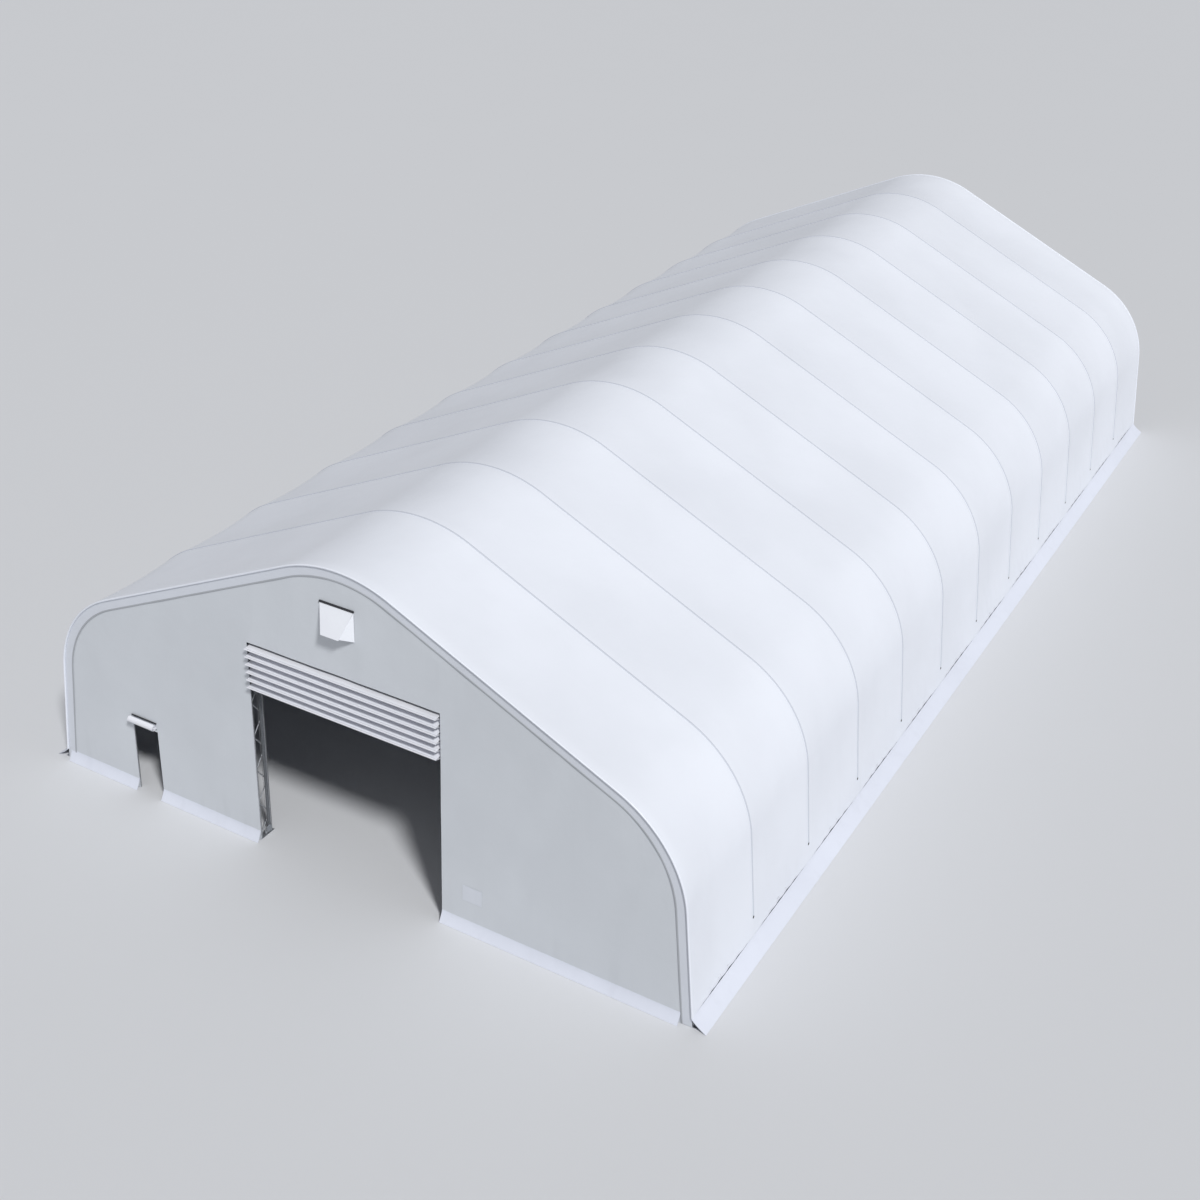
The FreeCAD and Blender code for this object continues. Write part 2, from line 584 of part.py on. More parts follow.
def vent_pieces(key):
    """The hood's slanting panel with a rod in its lower hem, its two side gussets, and the mesh behind it."""
    face = wall_face - n.trimSkin - n.fabricGap
    top, lip = (face, n.ventTop), (face - n.ventReach, n.ventLipLow)
    slope = V(0, lip[0] - top[0], lip[1] - top[1]).normalize()
    normal = V(0, -slope.z, slope.y)
    normal = normal if normal.y < 0 else normal * -1
    corners = [V(-n.ventHalf, top[0], top[1]), V(n.ventHalf, top[0], top[1]),
               V(n.ventLipHalf, lip[0], lip[1]), V(-n.ventLipHalf, lip[0], lip[1])]
    panel = doc.addObject("Part::Feature", key + "Panel")
    panel.Shape = Part.Face(Part.makePolygon(corners + corners[:1])).extrude(normal * -n.trimSkin)
    under = n.trimSkin + n.braceRadius + n.fabricGap / 4
    hem = V(0, lip[0], lip[1]) - normal * under - slope * n.braceRadius
    rod = bar(key + "Rod", "braceRadius", hem + X * -n.ventLipHalf, hem + X * n.ventLipHalf)
    gussets = []
    for i, side in enumerate((-1, 1)):
        shift = normal * -(n.trimSkin + n.fabricGap)
        points = [V(side * (n.ventHalf - n.ventSeam), face, n.ventTop - n.gussetDrop),
                  V(side * n.ventLipHalf, lip[0], lip[1]) + shift - slope * n.gussetBack,
                  V(side * (n.ventHalf - n.ventSeam), face, n.ventLow)]
        flat = Part.Face(Part.makePolygon(points + points[:1]))
        gusset = doc.addObject("Part::Feature", f"{key}Gusset{i}")
        gusset.Shape = flat.extrude(V(-side * n.trimSkin, 0, 0))
        gussets.append(gusset)
    gap, rim, rows, columns = n.meshGap, n.meshRim, int(n.meshRows), int(n.meshColumns)
    frame = block(key + "Mesh", (-n.meshHalf + gap, wall_face + gap, vent_low + gap),
                  [2 * (n.meshHalf - gap), "trimSkin", vent_high - vent_low - 2 * gap])
    slots = []
    pitch_x = 2 * (n.meshHalf - rim) / columns
    pitch_z = (vent_high - vent_low - 2 * rim) / rows
    depth = 4 * n.trimSkin
    for i in range(rows):
        for j in range(columns):
            low = (-n.meshHalf + rim + pitch_x * j + n.meshBar / 2, wall_face - depth / 2,
                   vent_low + rim + pitch_z * i + n.meshBar / 2)
            slots.append(block(f"{key}Slot{i}_{j}", low, [pitch_x - n.meshBar, depth, pitch_z - n.meshBar]))
    mesh = cut(key + "MeshGrid", frame, fuse(key + "Slots", slots))
    return panel, rod, gussets, mesh


vent_panel, vent_rod, vent_gussets, vent_mesh = vent_pieces("Vent")
node("vent_flap", [vent_panel, vent_rod])
node("vent_gussets", vent_gussets)
node("vent_mesh", [vent_mesh])
rear_vent = vent_pieces("RearVent")
rear_hood = [rear_vent[0], rear_vent[1], *rear_vent[2], rear_vent[3]]
node("rear_vent_hood", [add("Part::Mirroring", f"RearHood{i}", Source=piece, Normal=Y)
                        for i, piece in enumerate(rear_hood)])

# ---------------------------------------------------------------- main door frame

post_x = n.doorHalf + n.postOffset
post_front = arch_lines[0]
post_rear = post_front + n.chordSpacing
post_top = roof_height(post_x + n.plateOut, inner_inset + n.chordRadius) - n.seatGap
head_low = n.doorHeight + n.headerRise
head_high = head_low + n.chordSpacing


def door_post():
    """An upright ladder of two chords, one behind the other, with its foot plate and cap."""
    foot, top = n.basePlateSkin, post_top - n.flangeSkin
    solids, bores = [], []
    for key, y in (("Front", post_front), ("Rear", post_rear)):
        solids.append(bar(f"Post{key}", "chordRadius", (post_x, y, foot), (post_x, y, top)))
        bores.append(bar(f"Post{key}Bore", "chordRadius - chordWall", (post_x, y, foot), (post_x, y, top)))
    count = web_count(top)
    for i in range(count):
        z = [foot + n.webEnd + (top - foot - 2 * n.webEnd) * k / count for k in (i, i + 1)]
        y = (post_front, post_rear) if i % 2 == 0 else (post_rear, post_front)
        solids.append(bar(f"PostWeb{i}", "webRadius", (post_x, y[0], z[0]), (post_x, y[1], z[1])))
    plates = [block("PostFoot", (post_x - n.plateIn, post_front - n.plateLap, 0),
                    ["plateIn + plateOut", "chordSpacing + 2 * plateLap", "basePlateSkin"]),
              block("PostCap", (post_x - n.capIn, post_front - n.capLap, top),
                    ["capIn + plateOut", "chordSpacing + 2 * capLap", "flangeSkin"])]
    tubes = weldment("PostLadder", solids, bores)
    return fuse("DoorPost", [tubes] + plates)


right_post = door_post()
node("door_post_right", [right_post])
node("door_post_left", [mirrored("LeftDoorPost", right_post)])

curtain_y = wall_face + n.curtainBack
fold_y = curtain_y - n.foldDepth
head_reach = post_x - n.chordRadius - n.seatGap
head_solids, head_bores = [], []
for key, z in (("Low", head_low), ("High", head_high)):
    ends = (-head_reach, post_front, z), (head_reach, post_front, z)
    head_solids.append(bar(f"Head{key}", "chordRadius", *ends))
    head_bores.append(bar(f"Head{key}Bore", "chordRadius - chordWall", *ends))
head_count = web_count(2 * head_reach)
for i in range(head_count):
    x = [-head_reach + n.webEnd + 2 * (head_reach - n.webEnd) * k / head_count for k in (i, i + 1)]
    z = (head_low, head_high) if i % 2 == 0 else (head_high, head_low)
    head_solids.append(bar(f"HeadWeb{i}", "webRadius", (x[0], post_front, z[0]), (x[1], post_front, z[1])))
head_rail = block("HeadRail", (-n.curtainHalf, curtain_y - n.tubeRadius, n.doorHeight - n.railDrop),
                  [2 * n.curtainHalf, "tubeRadius * 2", "tubeRadius * 2"])
node("door_header", [weldment("HeadLadder", head_solids, head_bores), head_rail])

# ---------------------------------------------------------------- folding curtain

strip_length = math.hypot(n.foldDepth, n.foldRise)
strip_count = 2 * int(n.foldCount)
curtain_top = n.doorHeight - n.curtainDrop
stack_low = curtain_top - strip_count * n.foldRise
strip_drop = (stack_low - n.doorShut) / strip_count
guide_gap = n.tubeRadius + n.guideSlack
guide_x = n.curtainHalf + n.guideGap
sheave_x = guide_x + n.cableOut


def fold_line(index):
    """The height of the curtain's line of that number, counting down from the head rail."""
    return curtain_top - index * n.foldRise


def curtain_strip(name, upper, lower):
    """One flat width of the curtain between two lines, each a (y, z) place."""
    a, b = V(0, *upper), V(0, *lower)
    way = (b - a).normalize()
    clear = n.tubeRadius + n.stripClear
    a, b = a + way * clear, b - way * clear
    turn = FreeCAD.Rotation(Z, way)
    thing = add("Part::Box", name, Length=S("curtainHalf * 2"), Width=S("curtainSkin"), Height=(b - a).Length)
    side = turn.multVec(Y) * (-n.curtainSkin / 2)
    thing.Placement = FreeCAD.Placement(a + side + X * -n.curtainHalf, turn)
    return thing


for i in range(1, int(n.foldCount) + 1):
    above, outer, below = 2 * i - 2, 2 * i - 1, 2 * i
    front = (fold_y, fold_line(outer))
    pieces = [curtain_strip(f"FoldUpper{i}", (curtain_y, fold_line(above)), front)]
    pieces.append(curtain_strip(f"FoldLower{i}", front, (curtain_y, fold_line(below))))
    pieces.append(pipe(f"Batten{i}", "battenRadius", "tubeWall",
                       (-n.curtainHalf, *front), (n.curtainHalf, *front)))
    node(f"door_fold_{i}", pieces)
    if i < n.foldCount:
        place = (curtain_y, fold_line(below))
        # the lowest tube stops short of the guides, so that the bottom bar's shoes pass its ends
        lowest = i == n.foldCount - 1
        reach_x = n.curtainHalf if lowest else guide_x + n.guideDepth - n.guideSkin - n.guideSlack
        node(f"door_tube_{i}", [pipe(f"DoorTube{i}", "tubeRadius", "tubeWall",
                                     (-reach_x, *place), (reach_x, *place))])

bar_z = fold_line(strip_count)
front_cable, rear_cable = curtain_y - n.sheaveRadius, curtain_y + n.sheaveRadius
bracket_x = n.curtainHalf + n.stripClear
lug_top = bar_z + n.clampRise + n.lugRise
bracket = fuse("LiftBracket", [
    block("BracketFoot", (bracket_x, front_cable - n.bracketHalf, bar_z - n.tubeRadius),
          ["bracketSkin", "bracketHalf + sheaveRadius + tubeRadius", "tubeRadius * 2"]),
    block("BracketRiser", (bracket_x, front_cable - n.bracketHalf, bar_z),
          ["bracketSkin", "bracketHalf * 2", lug_top - bar_z]),
    block("BracketLug", (bracket_x, front_cable - n.bracketHalf, lug_top - n.lugTall),
          ["bracketSkin", "bracketHalf + sheaveRadius + lugBack", "lugTall"]),
    block("GuideShoe", (bracket_x, curtain_y - n.tubeRadius, lug_top - n.lugTall),
          ["shoeWide", "tubeRadius * 2", "lugTall"]),
])
clamp_low = (bracket_x + n.bracketSkin, front_cable - n.clampHalf, lug_top - n.clampDrop)
clamp_block = block("CableClamp", clamp_low, ["clampWide", "clampHalf * 2", "clampTall"])
clamp_ends = [(sheave_x, front_cable, lug_top + rise) for rise in (-2 * n.clampDrop, n.clampDrop)]
clamp_hole = bar("ClampHole", "cableRadius + fabricGap / 4", *clamp_ends)
lift_bracket = fuse("LiftBracketClamp", [bracket, cut("ClampBody", clamp_block, clamp_hole)])
bottom_tube = bar("BottomTube", "tubeRadius", (-bracket_x - n.weldLap, curtain_y, bar_z),
                  (bracket_x + n.weldLap, curtain_y, bar_z))
bottom = fuse("BottomBar", [bottom_tube, lift_bracket, mirrored("LeftLiftBracket", lift_bracket)])
node("door_bottom_bar", [bottom])

# ---------------------------------------------------------------- guides and hoist

guide_top = n.sheaveHigh - n.sheaveRadius - n.guideHeadroom
guide_tall = guide_top - n.guideFoot
guide_solid = block("GuideSolid", (guide_x, curtain_y - guide_gap - n.guideSkin, n.guideFoot),
                    ["guideDepth", 2 * (guide_gap + n.guideSkin), guide_tall])
guide_slot = block("GuideSlot", (guide_x - n.guideSkin, curtain_y - guide_gap, n.guideFoot - n.guideSkin),
                   ["guideDepth", 2 * guide_gap, guide_tall + 2 * n.guideSkin])
guide = cut("Guide", guide_solid, guide_slot)
node("curtain_guides", both_sides("LeftGuide", guide))


def sheave(name, z, bore):
    """A grooved wheel whose groove bottom is where the cable's inner side lies."""
    low, high = sheave_x - n.sheaveSkin / 2, sheave_x + n.sheaveSkin / 2
    wheel = bar(name + "Wheel", "sheaveRadius", (low, curtain_y, z), (high, curtain_y, z))
    groove = add("Part::Torus", name + "Groove", Radius1=S("sheaveRadius"),
                 Radius2=S("cableRadius + fabricGap / 4"))
    groove.Placement = FreeCAD.Placement(V(sheave_x, curtain_y, z), FreeCAD.Rotation(Z, X))
    tools = [groove]
    if bore:
        ends = (low - n.sheaveSkin, curtain_y, z), (high + n.sheaveSkin, curtain_y, z)
        tools.append(bar(name + "Bore", "axleRadius + runSlack", *ends))
    return cut(name, wheel, fuse(name + "Tools", tools))


high_sheave = sheave("HighSheave", n.sheaveHigh, False)
shaft_end = sheave_x - n.sheaveSkin / 2
shaft = bar("LiftShaftBar", "tubeRadius", (-shaft_end - n.weldLap, curtain_y, n.sheaveHigh),
            (shaft_end + n.weldLap, curtain_y, n.sheaveHigh))
node("lift_shaft", [fuse("LiftShaft", [shaft, high_sheave, mirrored("LeftHighSheave", high_sheave)])])

bearing_low = head_low - n.chordRadius
hanger_x, hanger_y = guide_x - n.hangerIn, post_front + n.chordRadius + n.seatGap
hanger = block("HangerPlate", (hanger_x, hanger_y, bearing_low),
               ["flangeSkin", curtain_y + n.hangerLap - hanger_y, n.sheaveHigh + n.hangerLap - bearing_low])
hanger_bore = bar("HangerBore", "tubeRadius + runSlack", (hanger_x - n.flangeSkin, curtain_y, n.sheaveHigh),
                  (hanger_x + 2 * n.flangeSkin, curtain_y, n.sheaveHigh))
hanger = cut("Hanger", hanger, hanger_bore)
node("shaft_hangers", both_sides("LeftHanger", hanger))

low_sheave = sheave("LowSheave", n.sheaveLow, True)
node("foot_sheave_right", [low_sheave])
node("foot_sheave_left", [mirrored("LeftLowSheave", low_sheave)])
bracket_face = post_x - n.chordRadius - n.seatGap
pin_tip = shaft_end - n.pinGap - n.pinHead
plate_low = (bracket_face - n.sheavePlateSkin, front_cable - n.sheavePlateFront, n.sheavePlateLow)
sheave_bracket = fuse("SheaveBracket", [
    block("SheavePlate", plate_low,
          ["sheavePlateSkin", "sheaveRadius * 2 + sheavePlateFront + sheavePlateBack", "sheavePlateTall"]),
    bar("SheavePin", "axleRadius", (pin_tip, curtain_y, n.sheaveLow), (bracket_face, curtain_y, n.sheaveLow)),
    bar("SheavePinHead", "axleRadius + pinHead", (pin_tip, curtain_y, n.sheaveLow),
        (pin_tip + n.pinHead, curtain_y, n.sheaveLow)),
])
node("foot_brackets", both_sides("LeftSheaveBracket", sheave_bracket))


def cable_loop(name):
    """A closed loop of cable: two upright runs and a half turn round each wheel."""
    runs = [bar(f"{name}Run{i}", "cableRadius", (sheave_x, y, n.sheaveLow), (sheave_x, y, n.sheaveHigh))
            for i, y in enumerate((front_cable, rear_cable))]
    turns = []
    for i, (z, roll) in enumerate(((n.sheaveHigh, 0), (n.sheaveLow, 180))):
        half_turn = add("Part::Torus", f"{name}Turn{i}", Radius1=S("sheaveRadius"), Radius2=S("cableRadius"),
                        Angle3=180)
        turn = FreeCAD.Rotation(X, roll).multiply(FreeCAD.Rotation(Y, Z, X, "ZXY"))
        half_turn.Placement = FreeCAD.Placement(V(sheave_x, curtain_y, z), turn)
        turns.append(half_turn)
    return fuse(name, runs + turns)


cable = cable_loop("HoistCable")
node("hoist_cables", both_sides("LeftHoistCable", cable))

drum_y = rear_cable + n.cableRadius + n.crankDrum + n.fabricGap / 4
crank_out = post_x + n.crankReach
crank_z = n.crankHeight
crank_solids = [
    bar("CrankDrum", "crankDrum", (sheave_x - n.drumIn, drum_y, crank_z),
        (sheave_x + n.drumOut, drum_y, crank_z)),
    bar("CrankShaft", "axleRadius", (sheave_x, drum_y, crank_z), (crank_out, drum_y, crank_z)),
    bar("CrankArmHub", "axleRadius * 2", (crank_out - n.hubHalf, drum_y, crank_z),
        (crank_out + n.hubHalf, drum_y, crank_z)),
    block("CrankArmBar", (crank_out - n.armSkin / 2, drum_y - n.armWide / 2, crank_z - n.crankArm),
          ["armSkin", "armWide", "crankArm"]),
    bar("CrankGrip", "gripRadius", (crank_out, drum_y, crank_z - n.crankArm),
        (crank_out + n.gripLength, drum_y, crank_z - n.crankArm)),
]
node("hand_crank", [fuse("HandCrank", crank_solids)])
winch_y = post_rear + n.chordRadius + n.seatGap
winch_plate = block("WinchPlate", (post_x - n.winchPlateIn, winch_y, crank_z - n.winchPlateTall / 2),
                    ["winchPlateWide", "bracketSkin", "winchPlateTall"])
winch_block = block("WinchBlock", (post_x + n.winchBlockIn, winch_y, crank_z - n.winchBlockTall / 2),
                    ["winchBlockWide", drum_y + n.winchLap + n.seatGap - winch_y, "winchBlockTall"])
winch_bore = bar("WinchBore", "axleRadius + runSlack", (sheave_x, drum_y, crank_z),
                 (crank_out, drum_y, crank_z))
node("winch_frame", [cut("WinchFrame", fuse("WinchSolid", [winch_plate, winch_block]), winch_bore)])

# ---------------------------------------------------------------- roll-up side door

jamb = n.sideFrame
side_left, side_right = n.sideDoorLeft - jamb, n.sideDoorRight + jamb
jamb_y = wall_face + n.wallSkin + n.fabricGap + jamb
frame_bars = [
    bar("JambLeft", "sideFrame", (side_left, jamb_y, 0), (side_left, jamb_y, n.sideDoorHeight + jamb)),
    bar("JambRight", "sideFrame", (side_right, jamb_y, 0), (side_right, jamb_y, n.sideDoorHeight + jamb)),
    bar("JambHead", "sideFrame", (side_left, jamb_y, n.sideDoorHeight + jamb),
        (side_right, jamb_y, n.sideDoorHeight + jamb)),
]
node("side_door_frame", [fuse("SideDoorFrame", frame_bars)])
roll_y = wall_face - n.rollRadius - n.rollGap
roll_ends = n.sideDoorLeft + n.rollEnd, n.sideDoorRight - n.rollEnd
node("side_door_roll", [bar("SideRoll", "rollRadius", (roll_ends[0], roll_y, n.rollHeight),
                            (roll_ends[1], roll_y, n.rollHeight))])
sheet_y = wall_face - n.sheetOff
side_bar_z = n.rollHeight - n.rollRadius - n.sideBarDrop
sheet_foot = side_bar_z + n.sideBarRadius + n.sheetGap
sheet_tall = n.rollHeight - n.rollTuck - sheet_foot
node("side_door_sheet", [block("SideSheet", (roll_ends[0], sheet_y, sheet_foot),
                               [roll_ends[1] - roll_ends[0], "curtainSkin", sheet_tall])])
node("side_door_bar", [bar("SideBar", "sideBarRadius", (roll_ends[0], sheet_y, side_bar_z),
                           (roll_ends[1], sheet_y, side_bar_z))])

# ---------------------------------------------------------------- checks and files

doc.recompute()
broken = [o.Name for o in doc.Objects if "Invalid" in o.State or "Error" in o.State]
if broken:
    raise SystemExit(f"objects that failed: {broken}")
for label, thing in parts.items():
    shape = thing.Shape
    if shape.isNull() or not shape.isValid() or not shape.Solids:
        raise SystemExit(f"{label} has no valid solid")
    faults = [i for i, solid in enumerate(shape.Solids) if not solid.isValid()]
    if faults:
        raise SystemExit(f"{label} has solids that are not valid: {faults}")

os.makedirs("parts", exist_ok=True)
for label, thing in parts.items():
    thing.Shape.exportStep(f"parts/{label}.step")
    box = thing.Shape.BoundBox
    print(f"{label}: {len(thing.Shape.Solids)} solids, x {box.XMin:.1f} {box.XMax:.1f}, "
          f"y {box.YMin:.1f} {box.YMax:.1f}, z {box.ZMin:.1f} {box.ZMax:.1f}")
print(len(parts), "files; peak", round(peak, 1), "; each strip opens by", round(strip_drop, 2),
      "and is", round(strip_length, 2), "long; the door drops", round(stack_low - n.doorShut, 2))
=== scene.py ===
import json
import math
import bpy
import numpy as np
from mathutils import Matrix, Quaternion, Vector


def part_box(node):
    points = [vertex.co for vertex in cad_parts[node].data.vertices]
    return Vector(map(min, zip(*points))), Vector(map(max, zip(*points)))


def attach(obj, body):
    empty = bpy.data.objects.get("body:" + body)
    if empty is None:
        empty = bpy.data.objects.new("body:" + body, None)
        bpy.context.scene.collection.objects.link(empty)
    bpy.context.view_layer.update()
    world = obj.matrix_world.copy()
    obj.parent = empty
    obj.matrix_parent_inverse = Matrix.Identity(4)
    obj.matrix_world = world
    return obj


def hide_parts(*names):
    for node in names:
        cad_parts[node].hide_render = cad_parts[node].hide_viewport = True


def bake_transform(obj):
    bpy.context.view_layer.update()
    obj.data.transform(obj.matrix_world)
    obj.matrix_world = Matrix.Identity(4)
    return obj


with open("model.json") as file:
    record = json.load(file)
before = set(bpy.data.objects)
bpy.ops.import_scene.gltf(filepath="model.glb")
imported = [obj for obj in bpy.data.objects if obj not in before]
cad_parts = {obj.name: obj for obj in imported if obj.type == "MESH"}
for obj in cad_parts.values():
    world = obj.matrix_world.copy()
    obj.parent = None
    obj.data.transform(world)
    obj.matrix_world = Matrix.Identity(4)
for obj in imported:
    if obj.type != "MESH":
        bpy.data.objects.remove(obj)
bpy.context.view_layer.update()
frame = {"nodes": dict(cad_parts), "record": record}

print("frame loaded,", len(frame["nodes"]), "nodes")

# the cross-section of the cover, in metres and degrees
outlineShape = {"eaveHalf": 7.22, "wallTop": 2.43, "wallLean": 0.265, "eaveRadius": 2.49, "roofPitch": 25.2,
                "ridgeRadius": 2.77, "steps": 6000}


def outlineTable():
    # the outward direction turns at a steady rate along the eaves and the ridge and stays put between them,
    # and the place is the running sum of the steps taken square to that direction
    lean = math.atan2(outlineShape["wallLean"], outlineShape["wallTop"])
    pitch = math.radians(outlineShape["roofPitch"])
    wall = outlineShape["wallTop"] / math.cos(lean)
    eave = outlineShape["eaveRadius"] * (math.pi / 2 - pitch - lean)
    shoulder = outlineShape["eaveHalf"] - outlineShape["eaveRadius"] * (math.cos(lean) - math.sin(pitch))
    rafter = (shoulder - outlineShape["ridgeRadius"] * math.sin(pitch)) / math.cos(pitch)
    ridge = 2 * outlineShape["ridgeRadius"] * pitch
    stops = np.cumsum([0, wall, eave, rafter, ridge, rafter, eave, wall])
    turns = [lean, lean, math.pi / 2 - pitch, math.pi / 2 - pitch, math.pi / 2 + pitch, math.pi / 2 + pitch,
             math.pi - lean, math.pi - lean]
    run = np.linspace(0, stops[-1], outlineShape["steps"])
    angle = np.interp(run, stops, turns)
    middle = (angle[1:] + angle[:-1]) / 2
    step = run[1] - run[0]
    foot = outlineShape["eaveHalf"] + outlineShape["wallLean"]
    x = foot - np.concatenate([[0], np.cumsum(np.sin(middle) * step)])
    z = np.concatenate([[0], np.cumsum(np.cos(middle) * step)])
    return run, x, z, angle


outlineRun, outlineX, outlineZ, outlineAngle = outlineTable()
girth = outlineRun[-1]


def outlineAt(run, inset=0.0):
    # the point that far round the outline from its right foot, moved inward by the inset
    angle = np.interp(run, outlineRun, outlineAngle)
    x = np.interp(run, outlineRun, outlineX) - np.cos(angle) * inset
    z = np.interp(run, outlineRun, outlineZ) - np.sin(angle) * inset
    return x, z, angle


def roofHeight(x, inset):
    # the outline's height over a place across the width
    px, pz, _ = outlineAt(outlineRun[len(outlineRun) // 10:len(outlineRun) // 2], inset)
    return np.interp(np.abs(x), px[::-1], pz[::-1])


def halfWidth(z, inset):
    # the outline's reach to the side at a height
    px, pz, _ = outlineAt(outlineRun[:len(outlineRun) // 2], inset)
    return np.interp(z, pz, px)


# ---- shader maths


class Wire:
    # a socket whose sums and products each add one Math node
    def __init__(self, finish, socket):
        self.finish, self.socket = finish, socket

    def math(self, operation, a, b):
        return self.finish.add("ShaderNodeMath", {"operation": operation}, {0: a, 1: b})

    def __add__(self, other):
        return self.math("ADD", self, other)

    def __sub__(self, other):
        return self.math("SUBTRACT", self, other)

    def __rsub__(self, other):
        return self.math("SUBTRACT", other, self)

    def __mul__(self, other):
        return self.math("MULTIPLY", self, other)

    __radd__, __rmul__ = __add__, __mul__


class Finish:
    # one material: nodes are added by add(), and put() feeds the shader
    def __init__(self, name, **constants):
        self.material = bpy.data.materials.new(name)
        self.material.use_nodes = True
        self.tree = self.material.node_tree
        self.shader = self.tree.nodes["Principled BSDF"]
        for key, value in constants.items():
            self.shader.inputs[key.replace("_", " ")].default_value = value
        self.place = self.add("ShaderNodeTexCoord", out="Object")

    def add(self, kind, settings=None, sockets=None, out=0):
        node = self.tree.nodes.new(kind)
        for key, value in (settings or {}).items():
            setattr(node, key, value)
        for key, value in (sockets or {}).items():
            if isinstance(value, Wire):
                self.tree.links.new(value.socket, node.inputs[key])
            else:
                node.inputs[key].default_value = value
        return Wire(self, node.outputs[out])

    def put(self, socket, wire):
        self.tree.links.new(wire.socket, self.shader.inputs[socket])

    def noise(self, scale, stretch=(1, 1, 1), detail=3.0):
        place = self.add("ShaderNodeMapping", None, {"Vector": self.place, "Scale": stretch})
        return self.add("ShaderNodeTexNoise", None, {"Vector": place, "Scale": scale, "Detail": detail})

    def ease(self, wire, low, high, fromZero=0.0, toOne=1.0):
        return self.add("ShaderNodeMapRange", {"interpolation_type": "SMOOTHSTEP"},
                        {"Value": wire, "From Min": low, "From Max": high, "To Min": fromZero, "To Max": toOne})

    def mix(self, factor, a, b):
        return self.add("ShaderNodeMix", {"data_type": "RGBA"}, {0: factor, 6: a, 7: b}, out=2)

    def bump(self, height, strength, distance):
        return self.add("ShaderNodeBump", None, {"Height": height, "Strength": strength, "Distance": distance})


def shade(colour, factor):
    return tuple(c * factor for c in colour) + (1.0,)


def coatedFabric(name, colour, roughness=0.5, darken=0.12, weave=0.1):
    # faint clouding, darkening in long upright streaks and towards the ground, and a fine plain weave
    finish = Finish(name, Sheen_Weight=0.08, Coat_Roughness=0.4)
    height = finish.add("ShaderNodeSeparateXYZ", None, {0: finish.place}, out=2)
    cloud = finish.ease(finish.noise(0.35), 0.35, 0.7)
    runs = finish.ease(finish.noise(3.0, (1.0, 1.0, 0.12)), 0.52, 0.78)
    low = 1 - finish.ease(height, 0.05, 1.1)
    # the colour darkens towards the ground and in long upright streaks
    darkening = (low * 0.8 + 0.2) * runs * darken + low * darken * 0.5
    clean = finish.mix(cloud, shade(colour, 1.0), shade(colour, 0.955))
    finish.put("Base Color", finish.mix(darkening, clean, shade(colour, 0.6)))
    finish.put("Roughness", runs * 0.08 + roughness)
    threads = finish.add("ShaderNodeTexWave", {"wave_type": "BANDS", "bands_direction": "DIAGONAL"},
                    {"Vector": finish.place, "Scale": 45.0, "Distortion": 0.0})
    creases = finish.noise(1.3, (1.0, 0.6, 1.0), 4.0)
    finish.put("Normal", finish.bump(threads * weave * 0.02 + creases, 0.28, 0.05))
    return finish.material


def galvanised(name, colour, roughness=0.42):
    # crystals of zinc that differ a little in grey, with dull patches
    finish = Finish(name, Metallic=0.85)
    crystals = finish.add("ShaderNodeTexVoronoi", None, {"Vector": finish.place, "Scale": 55.0}, out="Color")
    grain = finish.add("ShaderNodeSeparateColor", None, {0: crystals}, out=0)
    patch = finish.ease(finish.noise(5.0), 0.4, 0.7)
    finish.put("Base Color", finish.mix(grain * 0.5 + patch * 0.3, shade(colour, 1.0), shade(colour, 0.72)))
    finish.put("Roughness", grain * 0.1 + patch * 0.12 + roughness)
    finish.put("Normal", finish.bump(finish.noise(90.0), 0.15, 0.001))
    return finish.material


def painted(name, colour, roughness=0.45):
    # an even coat with scuffs that show brighter metal tones
    finish = Finish(name, Coat_Weight=0.2)
    scuff = finish.ease(finish.noise(28.0, (1, 1, 1), 5.0), 0.6, 0.72)
    finish.put("Base Color", finish.mix(scuff * 0.5, shade(colour, 1.0), shade(colour, 1.7)))
    finish.put("Roughness", scuff * 0.2 + roughness)
    finish.put("Normal", finish.bump(finish.noise(160.0), 0.12, 0.0006))
    return finish.material


def strandedWire(name, colour):
    # strands that wind round the cable
    finish = Finish(name, Metallic=0.8)
    strands = finish.add("ShaderNodeTexWave", {"wave_type": "BANDS", "bands_direction": "DIAGONAL"},
                    {"Vector": finish.place, "Scale": 130.0})
    # the colour falls to half in the grooves between strands, where the bump is lowest: painted shade
    finish.put("Base Color", finish.mix(strands, shade(colour, 0.5), shade(colour, 1.0)))
    finish.put("Roughness", strands * 0.2 + 0.35)
    finish.put("Normal", finish.bump(strands, 0.4, 0.001))
    return finish.material


